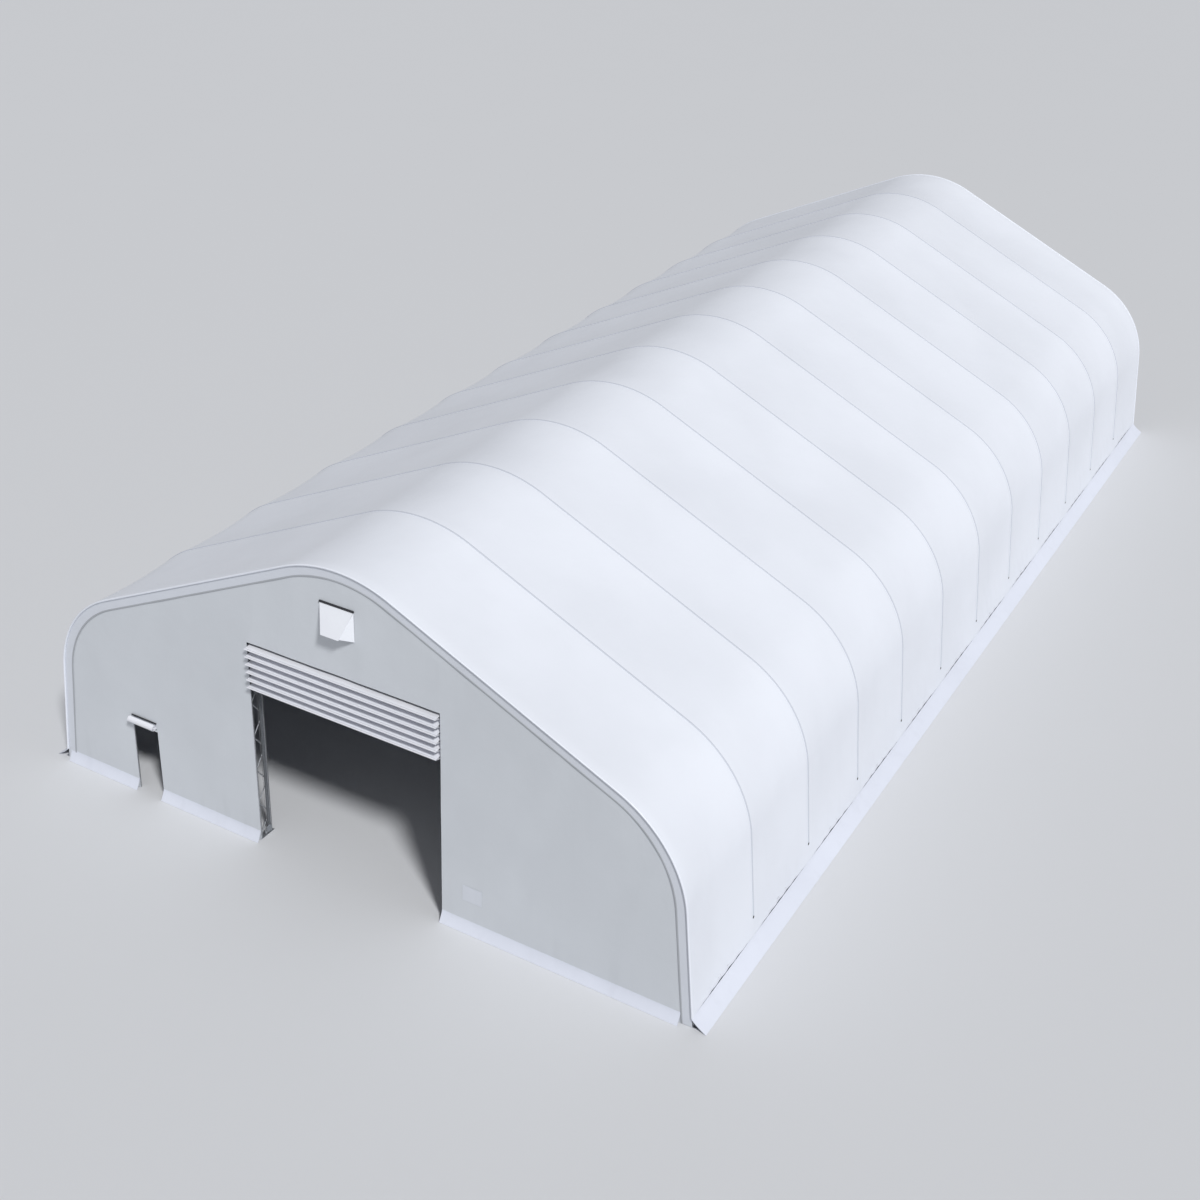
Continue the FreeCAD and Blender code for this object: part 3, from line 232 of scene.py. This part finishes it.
finishes = {
    "cover_fabric": coatedFabric("whiteCoverCloth", (0.84, 0.87, 0.94), 0.46),
    # the end wall cloth is greyer and darker than the cover's cloth; that grey is painted shade
    "wall_fabric": coatedFabric("endWallCloth", (0.66, 0.69, 0.73), 0.52),
    "skirt_fabric": coatedFabric("skirtCloth", (0.74, 0.77, 0.86), 0.5, darken=0.1),
    "trim_fabric": coatedFabric("bandCloth", (0.70, 0.73, 0.79), 0.5),
    "door_fabric": coatedFabric("doorCloth", (0.80, 0.81, 0.86), 0.5, darken=0.06),
    "hood_fabric": coatedFabric("hoodCloth", (0.86, 0.88, 0.93), 0.48, darken=0.05),
    "seam_fabric": coatedFabric("seamTape", (0.58, 0.61, 0.68), 0.55),
    "line_fabric": coatedFabric("stitchedLine", (0.42, 0.44, 0.47), 0.6),
    "galvanised_tube": galvanised("galvanisedTube", (0.52, 0.54, 0.57)),
    "zinc_plate": galvanised("brightZinc", (0.64, 0.65, 0.67), 0.34),
    "door_tube": galvanised("doorTubeSteel", (0.48, 0.50, 0.53), 0.4),
    "sheave_steel": painted("sheavePaint", (0.22, 0.24, 0.27)),
    "crank_paint": painted("crankPaint", (0.07, 0.08, 0.10)),
    "eyelet_rubber": painted("eyeletRubber", (0.02, 0.02, 0.025), 0.8),
    "vent_mesh": painted("meshPlastic", (0.05, 0.055, 0.06), 0.7),
    "wire_rope": strandedWire("strandedWire", (0.45, 0.45, 0.46)),
}
for entry in frame["record"]["subparts"]:
    node = frame["nodes"][entry["node"]]
    node.data.materials.clear()
    node.data.materials.append(finishes[entry["material_slot"]])
print(len(finishes), "finishes made")

# ---- surfaces


def makePiece(name, points, faces, slotName, body=None):
    # one mesh from an array of points and lists of corners, sharp where its faces meet at a steep angle
    mesh = bpy.data.meshes.new(name)
    mesh.from_pydata(points.reshape(-1, 3).tolist(), [], faces)
    mesh.materials.append(finishes[slotName])
    mesh.validate()
    mesh.shade_smooth()
    mesh.set_sharp_from_angle(angle=math.radians(35))
    piece = bpy.data.objects.new(name, mesh)
    bpy.context.collection.objects.link(piece)
    if body:
        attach(piece, body)
    return piece


def cells(rows, columns, wrap=False):
    # the four corners of each cell of a grid, which may close on itself across its columns
    r = np.arange(rows - 1)[:, None] * columns
    c = np.arange(columns if wrap else columns - 1)[None, :]
    ahead = (c + 1) % columns
    return np.stack([r + c, r + ahead, r + columns + ahead, r + columns + c], -1).reshape(-1, 4)


def shellOf(grids, skin):
    # each grid of points gets a second one behind it, a skin's thickness away along the grid's own normals,
    # and a rim that joins the two
    points, faces, start = [], [], 0
    for grid in grids:
        rows, columns = grid.shape[:2]
        normal = np.cross(np.gradient(grid, axis=1), np.gradient(grid, axis=0))
        length = np.linalg.norm(normal, axis=-1, keepdims=True)
        middle = normal.reshape(-1, 3).mean(0)
        normal = np.where(length > 1e-9, normal / np.maximum(length, 1e-9), middle / np.linalg.norm(middle))
        back, count = grid - normal * skin, rows * columns
        front = cells(rows, columns) + start
        number = np.arange(count).reshape(rows, columns) + start
        rim = np.concatenate([number[0, :-1], number[:-1, -1], number[-1, :0:-1], number[:0:-1, 0]])
        ahead = np.roll(rim, -1)
        sides = np.stack([rim, rim + count, ahead + count, ahead], -1)
        points += [grid.reshape(-1, 3), back.reshape(-1, 3)]
        faces += [front, front[:, ::-1] + count, sides]
        start += 2 * count
    return np.concatenate(points), np.concatenate(faces).tolist()


def clothPiece(name, grids, skin, slotName, body=None):
    points, faces = shellOf(grids, skin)
    return makePiece(name, points, faces, slotName, body)


def sweep(path, across, up, profile):
    # a closed profile of (across, up) places, carried along a path that has its own two directions; it is
    # taken the other way round where those two make a left-handed set with the path
    if np.dot(np.cross(across[0], up[0]), path[1] - path[0]) < 0:
        profile = profile[::-1]
    ring = path[:, None] + across[:, None] * profile[None, :, :1] + up[:, None] * profile[None, :, 1:]
    count, sides = ring.shape[:2]
    caps = [list(range(sides))[::-1], list(range((count - 1) * sides, count * sides))]
    return ring, cells(count, sides, wrap=True).tolist() + caps


def swept(name, parts, slotName, body):
    points, faces, start = [], [], 0
    for ring, corners in parts:
        points.append(ring.reshape(-1, 3))
        faces += [[number + start for number in face] for face in corners]
        start += ring.shape[0] * ring.shape[1]
    return makePiece(name, np.concatenate(points), faces, slotName, body)


def roundProfile(wide, tall, sides, part=2 * math.pi):
    turn = np.linspace(0, part, sides, endpoint=part < 6)
    return np.stack([np.cos(turn) * wide, np.sin(turn) * tall], -1)


def outlinePath(first, last, count, inset, y):
    # a path round the outline at one place along the building, with its outward direction
    x, z, angle = outlineAt(np.linspace(first, last, count), inset)
    path = np.stack([x, np.full_like(x, y), z], -1)
    out = np.stack([np.cos(angle), np.zeros_like(x), np.sin(angle)], -1)
    return path, out


alongY, upward = np.array([0.0, 1.0, 0.0]), np.array([0.0, 0.0, 1.0])

# ---- cover

cover = {"bays": 12, "sag": 0.045, "skin": 0.006, "tight": 0.07, "tightEnd": 0.19, "stepsRound": 220,
         "stepsAlong": 29, "footShare": 0.35, "fullRise": 2.2, "pucker": 0.006, "puckersAlong": 44,
         "puckersUp": 9, "puckerFade": 0.5, "ribHalf": 0.022, "ribRise": 0.016, "ribAbove": 0.02,
         "pipingRadius": 0.020}
coverLow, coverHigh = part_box("main_cover")
bay = (coverHigh.y - coverLow.y) / cover["bays"]
footRun = coverLow.z / math.cos(math.atan2(outlineShape["wallLean"], outlineShape["wallTop"]))
seamLines = [coverLow.y + bay * i for i in range(cover["bays"] + 1)]


def coverBay(front, rear):
    # tight over the two arches and hollow between them, as a parabola, with small puckers above the bottom
    # edge; the end arches stand a little in from the cover's ends
    run = np.linspace(footRun, girth - footRun, cover["stepsRound"])[:, None]
    share = np.linspace(0, 1, cover["stepsAlong"])[None, :]
    first = front + (cover["tightEnd"] if front == seamLines[0] else cover["tight"])
    last = rear - (cover["tightEnd"] if rear == seamLines[-1] else cover["tight"])
    between = np.clip((front + (rear - front) * share - first) / (last - first), 0, 1)
    hollow = 4 * between * (1 - between)
    rise = np.minimum(run, girth - run) - footRun
    grown = np.clip(rise / cover["fullRise"], 0, 1)
    inset = cover["sag"] * hollow * (cover["footShare"] + (1 - cover["footShare"]) * grown)
    wave = np.sin(share * cover["puckersAlong"] + rise * cover["puckersUp"])
    inset = inset + cover["pucker"] * hollow * wave * np.exp(-rise / cover["puckerFade"])
    x, z, _ = outlineAt(np.broadcast_to(run, inset.shape), inset)
    return np.stack([x, np.broadcast_to(front + (rear - front) * share, x.shape), z], -1)


for i, (front, rear) in enumerate(zip(seamLines, seamLines[1:]), start=1):
    piece = clothPiece(f"cover_bay_{i:02d}", [coverBay(front, rear)], cover["skin"], "cover_fabric", "shelter")
    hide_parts("main_cover")
    rear - front
    girth - 2 * footRun

# each seam is a low rib of tape that ends just above the eyelet on each wall
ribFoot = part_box("seam_eyelets")[1].z + cover["ribAbove"]
ribs = []
ribProfile = roundProfile(cover["ribHalf"], cover["ribRise"], 7, math.pi)
for y in seamLines[1:-1]:
    path, out = outlinePath(ribFoot, girth - ribFoot, 200, 0.002, y)
    ribs.append(sweep(path, np.broadcast_to(alongY, path.shape), out, ribProfile))
swept("cover_seams", ribs, "seam_fabric", "shelter")

# the cover's two end edges are turned over a rope
edges = []
pipingProfile = roundProfile(cover["pipingRadius"], cover["pipingRadius"], 10)
for y in (coverLow.y + cover["pipingRadius"], coverHigh.y - cover["pipingRadius"]):
    path, out = outlinePath(footRun, girth - footRun, 220, 0.004, y)
    edges.append(sweep(path, np.broadcast_to(alongY, path.shape), out, pipingProfile))
swept("cover_edges", edges, "cover_fabric", "shelter")
print("cover made")

# ---- end walls

wall = {"skin": 0.006, "inset": 0.010, "ripple": 0.006, "fullHeight": 1.5, "least": 0.1, "foot": 0.004,
        "flankEdge": 5.4, "stepsAcross": 26, "stepsUp": 60}
gaps = {"sideLeft": -5.43, "sideRight": -4.76, "sideHeight": 1.64, "mainHalf": 2.19, "mainHeight": 4.65,
            "ventHalf": 0.30, "ventLow": 5.56, "ventHigh": 6.07}


def wallGrid(x, z, face, way):
    # shallow ripples that run down the cloth and fade out at the bottom
    ripple = np.sin(x * 2.3 + np.sin(z * 0.9) * 1.4) + 0.5 * np.sin(x * 5.1 - z * 1.7)
    depth = wall["ripple"] * ripple * np.clip(z / wall["fullHeight"], wall["least"], 1)
    return np.stack([x, face - way * np.abs(depth), z], -1)


def column(left, right, low, high=None):
    # a strip of wall between two upright lines, up to a height or to the outline
    share = np.linspace(0, 1, wall["stepsUp"])[:, None]
    across = np.linspace(left, right, wall["stepsAcross"])[None, :]
    x = np.broadcast_to(across, (wall["stepsUp"], wall["stepsAcross"]))
    top = roofHeight(x, wall["inset"]) if high is None else np.full_like(x, high)
    return x, low + (top - low) * share


def flank(edge, side):
    # the strip between the outline's leaning side and an upright line
    top = float(roofHeight(np.array(edge), wall["inset"]))
    z = np.linspace(wall["foot"], top, wall["stepsUp"])[:, None]
    share = np.linspace(0, 1, wall["stepsAcross"])[None, :]
    outer = side * halfWidth(z, wall["inset"])
    x = (outer + (edge - outer) * share) if side < 0 else (edge + (outer - edge) * share)
    return x, np.broadcast_to(z, x.shape)


foot, flankEdge = wall["foot"], wall["flankEdge"]
mainHalf, ventHalf = gaps["mainHalf"], gaps["ventHalf"]
frontStrips = [
    flank(gaps["sideLeft"], -1),
    column(gaps["sideLeft"], gaps["sideRight"], gaps["sideHeight"]),
    column(gaps["sideRight"], -mainHalf, foot),
    column(-mainHalf, -ventHalf, gaps["mainHeight"]),
    column(-ventHalf, ventHalf, gaps["mainHeight"], gaps["ventLow"]),
    column(-ventHalf, ventHalf, gaps["ventHigh"]),
    column(ventHalf, mainHalf, gaps["mainHeight"]),
    column(mainHalf, flankEdge, foot),
    flank(flankEdge, 1),
]
rearStrips = [
    flank(-flankEdge, -1),
    column(-flankEdge, -ventHalf, foot),
    column(-ventHalf, ventHalf, foot, gaps["ventLow"]),
    column(-ventHalf, ventHalf, gaps["ventHigh"]),
    column(ventHalf, flankEdge, foot),
    flank(flankEdge, 1),
]


def areaOf(grids):
    # the sum of each grid's cells, as cross products of their sides
    total = 0.0
    for grid in grids:
        nearDown, nearAcross = grid[1:, :-1] - grid[:-1, :-1], grid[:-1, 1:] - grid[:-1, :-1]
        farAcross, farDown = grid[1:, 1:] - grid[1:, :-1], grid[1:, 1:] - grid[:-1, 1:]
        total += np.linalg.norm(np.cross(nearDown, nearAcross), axis=-1).sum() / 2
        total += np.linalg.norm(np.cross(farAcross, farDown), axis=-1).sum() / 2
    return float(total)


for name, strips, node, way in (("front_wall_cloth", frontStrips, "front_wall", -1),
                                ("rear_wall_cloth", rearStrips, "rear_wall", 1)):
    low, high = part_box(node)
    face = low.y if way < 0 else high.y
    grids = [wallGrid(x, z, face, way) for x, z in strips]
    if way > 0:
        grids = [g[:, ::-1] for g in grids]
    piece = clothPiece(name, grids, wall["skin"], "wall_fabric", "shelter")
    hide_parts(node)
    areaOf(grids)

band = {"wide": 0.21, "skin": 0.004, "foot": 0.030, "inset": 0.012, "proud": 0.001, "steps": 260,
        "lineSteps": 240}
# each line's name, inset, half width, rise and finish
bandLines = (("line", band["inset"] + band["wide"], 0.018, 0.004, "line_fabric"),
             # the edge line is a near-black strip on the end wall just inside the outline, in the eyelets'
             # black finish
             ("edge", 0.008, 0.005, 0.005, "eyelet_rubber"))
for name, way in (("front_band", -1), ("rear_band", 1)):
    low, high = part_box("border_bands")
    face = low.y if way < 0 else high.y
    run = np.linspace(band["foot"], girth - band["foot"], band["steps"])[:, None]
    across = np.linspace(band["inset"], band["inset"] + band["wide"], 5)[None, :]
    x, z, _ = outlineAt(*np.broadcast_arrays(run, across))
    grid = np.stack([x, np.full_like(x, face), z], -1)
    grid = grid[:, ::-1] if way < 0 else grid
    piece = clothPiece(name, [grid], band["skin"], "trim_fabric", "shelter")
    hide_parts("border_bands")
    girth - 2 * band["foot"]
    for word, inset, half, rise, lineSlot in bandLines:
        path, out = outlinePath(band["foot"], girth - band["foot"], band["lineSteps"], inset,
                                face + band["proud"] * way)
        ring = sweep(path, out, np.broadcast_to(alongY * way, path.shape), roundProfile(half, rise, 8))
        swept(f"{name}_{word}", [ring], lineSlot, "shelter")
print("end walls made")

# ---- skirts

skirt = {"skin": 0.006, "bend": 1.35, "scallop": 0.008, "scallopRate": 7.4, "foot": 0.003}


def skirtGrid(top, foot, first, last, count, along):
    # from its top line out to the ground in a hollow curve, with shallow scallops along its length
    share = np.linspace(0, 1, 9)[:, None]
    run = np.linspace(first, last, count)[None, :]
    out = top[0] + (foot[0] - top[0]) * share ** skirt["bend"]
    out = out + skirt["scallop"] * np.sin(run * skirt["scallopRate"]) * share * (1 - share) * np.sign(foot[0])
    height = top[1] + (foot[1] - top[1]) * share + 0 * run
    run = np.broadcast_to(run, out.shape)
    return np.stack([out, run, height] if along == "y" else [run, out, height], -1)


low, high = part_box("side_skirts")
middle = (low.y + high.y) / 2
topX = outlineShape["eaveHalf"] + outlineShape["wallLean"] * (1 - high.z / outlineShape["wallTop"])
for side, word in ((1, "right"), (-1, "left")):
    for first, last, end in ((low.y, middle, "front"), (middle, high.y, "rear")):
        grid = skirtGrid((side * topX, high.z), (side * high.x, skirt["foot"]), first, last, 120, "y")
        grid = grid[:, ::-1] if side > 0 else grid
        piece = clothPiece(f"side_skirt_{word}_{end}", [grid], skirt["skin"], "skirt_fabric", "shelter")
        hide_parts("side_skirts")
        width = math.hypot(high.x - topX, high.z)
        min(areaOf([grid]), (last - first) * width)

low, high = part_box("end_skirts")
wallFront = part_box("front_wall")[0].y
edge = high.x - 0.01
cornerGap = {"left": 0.07, "right": 0.22}
spans = [("front_skirt_left", cornerGap["left"] - edge, gaps["sideLeft"], 1),
         ("front_skirt_middle", gaps["sideRight"], -mainHalf, 1),
         ("front_skirt_right", mainHalf, edge - cornerGap["right"], 1), ("rear_skirt", -edge, edge, -1)]
for name, left, right, way in spans:
    grid = skirtGrid((wallFront * way, high.z), (low.y * way, skirt["foot"]), left, right, 90, "x")
    grid = grid if way < 0 else grid[:, ::-1]
    piece = clothPiece(name, [grid], skirt["skin"], "skirt_fabric", "shelter")
    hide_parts("end_skirts")
    width = math.hypot(low.y - wallFront, high.z)
    min(areaOf([grid]), (right - left) * width)
print("skirts made")

# ---- folding door

door = {"half": 2.165, "skin": 0.004, "droop": 0.016, "battenRadius": 0.014, "shares": (0.06, 0.94),
        "uneven": 0.25, "wavesAcross": 5.3, "wavesDown": 9}
(firstLow, firstHigh), (nextLow, nextHigh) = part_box("door_tube_1"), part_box("door_tube_2")
firstZ = (firstLow.z + firstHigh.z) / 2
rise = (firstZ - (nextLow.z + nextHigh.z) / 2) / 2
insideY, topZ = (firstLow.y + firstHigh.y) / 2, firstZ + 2 * rise
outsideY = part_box("door_fold_1")[0].y + door["battenRadius"]


def doorStrip(upper, lower):
    # flat from side to side, hanging a little below the straight line between its two tubes
    share = np.linspace(*door["shares"], 13)[:, None]
    x = np.linspace(-door["half"], door["half"], 40)[None, :]
    y = upper[0] + (lower[0] - upper[0]) * share + 0 * x
    wave = np.sin(x * door["wavesAcross"] + upper[1] * door["wavesDown"])
    droop = door["droop"] * 4 * share * (1 - share) * (1 + door["uneven"] * wave)
    z = upper[1] + (lower[1] - upper[1]) * share - droop
    return np.stack([np.broadcast_to(x, y.shape), y, z], -1)


for k in range(12):
    upper = (insideY if k % 2 == 0 else outsideY, topZ - k * rise)
    lower = (outsideY if k % 2 == 0 else insideY, topZ - (k + 1) * rise)
    grid = doorStrip(upper, lower)
    piece = clothPiece(f"door_cloth_{k + 1:02d}", [grid], door["skin"], "door_fabric")
    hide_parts(f"door_fold_{k // 2 + 1}")
    areaOf([grid]) / (2 * door["half"])
    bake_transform(piece)
for i in range(1, 7):
    x = np.linspace(-door["half"], door["half"], 12)
    path = np.stack([x, np.full_like(x, outsideY), np.full_like(x, topZ - (2 * i - 1) * rise)], -1)
    ring = sweep(path, np.broadcast_to(alongY, path.shape), np.broadcast_to(upward, path.shape),
                 roundProfile(door["battenRadius"], door["battenRadius"], 16))
    batten = swept(f"door_batten_{i}", [ring], "door_fabric", f"fold_{i}")
    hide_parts(f"door_fold_{i}")
print("folding door made")

# ---- roll-up side door

roll = {"turns": 5, "core": 0.022, "skin": 0.003, "steps": 180, "stripBack": 0.002, "stripDown": 0.006,
        "stripWide": 0.010, "stripTall": 0.016}
low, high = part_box("side_door_roll")
centre = ((low.y + high.y) / 2, (low.z + high.z) / 2)
radius = (high.z - low.z) / 2
turn = np.linspace(0, roll["turns"] * 2 * math.pi, roll["steps"])[:, None]
reach = roll["core"] + (radius - roll["core"]) * turn / turn[-1]
x = np.linspace(low.x, high.x, 12)[None, :]
grid = np.stack([np.broadcast_to(x, (roll["steps"], 12)), centre[0] + reach * np.sin(turn) + 0 * x,
                 centre[1] + reach * np.cos(turn) + 0 * x], -1)
piece = clothPiece("side_door_coil", [grid], roll["skin"], "door_fabric", "side_roll")
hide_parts("side_door_roll")
areaOf([grid]) / (high.x - low.x)
path = np.stack([x[0], np.full_like(x[0], high.y + roll["stripBack"]),
                 np.full_like(x[0], high.z - roll["stripDown"])], -1)
ring = sweep(path, np.broadcast_to(alongY, path.shape), np.broadcast_to(upward, path.shape),
             roundProfile(roll["stripWide"], roll["stripTall"], 10))
swept("side_door_strip", [ring], "eyelet_rubber", "shelter")
low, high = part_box("side_door_sheet")
z = np.linspace(high.z, low.z, 24)[:, None]
x = np.linspace(low.x, high.x, 12)[None, :]
grid = np.stack([x + 0 * z, np.full((24, 12), (low.y + high.y) / 2), z + 0 * x], -1)
piece = clothPiece("side_door_cloth", [grid], roll["skin"], "door_fabric")
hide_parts("side_door_sheet")
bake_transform(piece)
print("side door made")

# ---- vents

hood = {"topHalf": 0.38, "lipHalf": 0.20, "skin": 0.004, "sag": 0.012, "gussetTop": 6.10, "gussetLow": 5.50,
        "gussetIn": 0.012, "gussetLipIn": 0.004, "gussetBack": 0.012, "gussetUp": 0.02, "gussetShare": 0.97,
        "gussetFlat": (0.30, 0.60), "rodRadius": 0.006, "rodBack": 0.012, "rodUp": 0.004, "stripOut": 0.004,
        "stripDown": 0.004, "stripWide": 0.026, "stripTall": 0.020, "wireHalf": 0.004, "wireRise": 0.0018,
        "wireEdge": 0.006, "wireBack": 0.002}


def hoodPieces(way):
    # a sloping panel that narrows to its lip and bellies slightly, and a three-cornered side on each hand
    low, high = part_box("vent_flap")
    top, lip = (high.y if way < 0 else -high.y), (low.y if way < 0 else -low.y)
    down = np.linspace(0, 1, 14)[:, None]
    across = np.linspace(-1, 1, 18)[None, :]
    x = across * (hood["topHalf"] + (hood["lipHalf"] - hood["topHalf"]) * down)
    y = top + (lip - top) * down + 0 * across
    z = high.z + (low.z - high.z) * down + hood["sag"] * np.sin(math.pi * down) * (1 - across ** 2)
    panel = np.stack([x, y, z], -1)
    panel = panel if way < 0 else panel[:, ::-1]
    sides = []
    for side in (-1, 1):
        u = np.linspace(0, 1, 8)[:, None]
        v = np.linspace(0, 1, 8)[None, :]
        atTop = np.array([side * (hood["topHalf"] - hood["gussetIn"]), top, hood["gussetTop"]])
        atLip = np.array([side * (hood["lipHalf"] - hood["gussetLipIn"]), lip - way * hood["gussetBack"],
                          low.z + hood["gussetUp"]])
        atFoot = np.array([side * (hood["topHalf"] - hood["gussetIn"]), top, hood["gussetLow"]])
        edge = atTop + (atFoot - atTop) * u[..., None]
        grid = edge + (atLip - edge) * v[..., None] * hood["gussetShare"]
        sides.append(grid if side * way > 0 else grid[:, ::-1])
    return panel, sides


panel, sides = hoodPieces(-1)
flap = clothPiece("vent_panel", [panel], hood["skin"], "hood_fabric", "vent_flap")
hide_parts("vent_flap")
areaOf([panel]) / (hood["topHalf"] + hood["lipHalf"])
areaOf([panel])
low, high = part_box("vent_flap")
x = np.linspace(-hood["lipHalf"], hood["lipHalf"], 10)
path = np.stack([x, np.full_like(x, low.y + hood["rodBack"]), np.full_like(x, low.z + hood["rodUp"])], -1)
ring = sweep(path, np.broadcast_to(alongY, path.shape), np.broadcast_to(upward, path.shape),
             roundProfile(hood["rodRadius"], hood["rodRadius"], 10))
swept("vent_lip_rod", [ring], "galvanised_tube", "vent_flap")
for word, grid in zip(("left", "right"), sides):
    gusset = clothPiece(f"vent_side_{word}", [grid], hood["skin"], "hood_fabric")
    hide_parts("vent_gussets")
    areaOf([grid])
    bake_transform(gusset)
rearPanel, rearSides = hoodPieces(1)
rear = clothPiece("rear_vent_panel", [rearPanel], hood["skin"], "hood_fabric", "shelter")
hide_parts("rear_vent_hood")
areaOf([rearPanel]) / (hood["topHalf"] + hood["lipHalf"])
areaOf([rearPanel])
for word, grid in zip(("left", "right"), rearSides):
    gusset = clothPiece(f"rear_vent_side_{word}", [grid], hood["skin"], "hood_fabric", "shelter")
    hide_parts("rear_vent_hood")
    areaOf([grid])
meshLow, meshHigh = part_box("vent_mesh")
wires = []
wireY = -meshLow.y - hood["wireBack"]
wireProfile = roundProfile(hood["wireHalf"], hood["wireRise"], 6)
outward = np.array([alongY] * 2)
for across in np.linspace(meshLow.x + hood["wireEdge"], meshHigh.x - hood["wireEdge"], 13):
    path = np.array([[across, wireY, meshLow.z], [across, wireY, meshHigh.z]])
    wires.append(sweep(path, np.array([[1.0, 0.0, 0.0]] * 2), outward, wireProfile))
for up in np.linspace(meshLow.z + hood["wireEdge"], meshHigh.z - hood["wireEdge"], 11):
    path = np.array([[meshLow.x, wireY, up], [meshHigh.x, wireY, up]])
    wires.append(sweep(path, np.array([upward] * 2), outward, wireProfile))
rearMesh = swept("rear_vent_mesh", wires, "vent_mesh", "shelter")
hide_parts("rear_vent_hood")
x = np.linspace(-hood["topHalf"], hood["topHalf"], 10)
# each hood gets a near-black strip along its top edge, in the eyelets' black finish
for name, way in (("vent_top_strip", -1), ("rear_vent_top_strip", 1)):
    y = high.y if way < 0 else -high.y
    path = np.stack([x, np.full_like(x, y + way * hood["stripOut"]),
                     np.full_like(x, high.z - hood["stripDown"])], -1)
    ring = sweep(path, np.broadcast_to(alongY, path.shape), np.broadcast_to(upward, path.shape),
                 roundProfile(hood["stripWide"], hood["stripTall"], 10))
    swept(name, [ring], "eyelet_rubber", "shelter")
print("vents made")

# ---- patch

patch = {"puff": 0.0015, "skin": 0.003}
low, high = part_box("wall_patch")
x = np.linspace(low.x, high.x, 20)[None, :]
z = np.linspace(low.z, high.z, 16)[:, None]
acrossWave = np.sin(math.pi * (x - low.x) / (high.x - low.x))
upWave = np.sin(math.pi * (z - low.z) / (high.z - low.z))
puff = patch["puff"] * acrossWave * upWave
grid = np.stack([x + 0 * z, low.y - puff, z + 0 * x], -1)
piece = clothPiece("patch_cloth", [grid], patch["skin"], "trim_fabric", "shelter")
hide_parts("wall_patch")

# ---- scene

view = {"place": (16.135, -35.220, 21.090), "target": (-4.593, 0.0, -0.967), "roll": 1.375, "lens": 50.0,
        "shift": (0.0417, -0.0417)}
camera = bpy.data.objects.new("camera", bpy.data.cameras.new("camera"))
bpy.context.collection.objects.link(camera)
aim = (Vector(view["target"]) - Vector(view["place"])).to_track_quat("-Z", "Y")
camera.rotation_mode = "QUATERNION"
camera.rotation_quaternion = aim @ Quaternion((0, 0, 1), math.radians(view["roll"]))
camera.location = view["place"]
camera.data.lens, camera.data.sensor_width = view["lens"], 36.0
camera.data.shift_x, camera.data.shift_y = view["shift"]
camera.data.clip_end = 500.0
bpy.context.scene.camera = camera

ground = {"half": 300.0, "below": -0.002, "colour": (0.66, 0.67, 0.69)}
half, below = ground["half"], ground["below"]
mesh = bpy.data.meshes.new("floor")
corners = [(-half, -half, below), (half, -half, below), (half, half, below), (-half, half, below)]
mesh.from_pydata(corners, [], [(0, 1, 2, 3)])
floor = bpy.data.objects.new("floor", mesh)
bpy.context.collection.objects.link(floor)
finish = Finish("paleFloor", Roughness=0.9)
tones = shade(ground["colour"], 1.0), shade(ground["colour"], 0.99)
finish.put("Base Color", finish.mix(finish.noise(0.2), *tones))
mesh.materials.append(finish.material)

light = {"sky": (0.93, 0.95, 1.0), "skyPower": 0.31, "sunPower": 2.5, "sunFrom": (0.42, -0.33, 0.6),
         "sunSpread": 8.0}
world = bpy.data.worlds.new("softSky")
world.use_nodes = True
world.node_tree.nodes["Background"].inputs["Color"].default_value = (*light["sky"], 1.0)
world.node_tree.nodes["Background"].inputs["Strength"].default_value = light["skyPower"]
bpy.context.scene.world = world
sun = bpy.data.objects.new("keyLight", bpy.data.lights.new("keyLight", "SUN"))
bpy.context.collection.objects.link(sun)
sun.data.energy, sun.data.angle = light["sunPower"], math.radians(light["sunSpread"])
sun.rotation_mode = "QUATERNION"
sun.rotation_quaternion = (-Vector(light["sunFrom"])).to_track_quat("-Z", "Y")
bpy.context.scene.view_settings.view_transform = "Standard"
print("scene made")
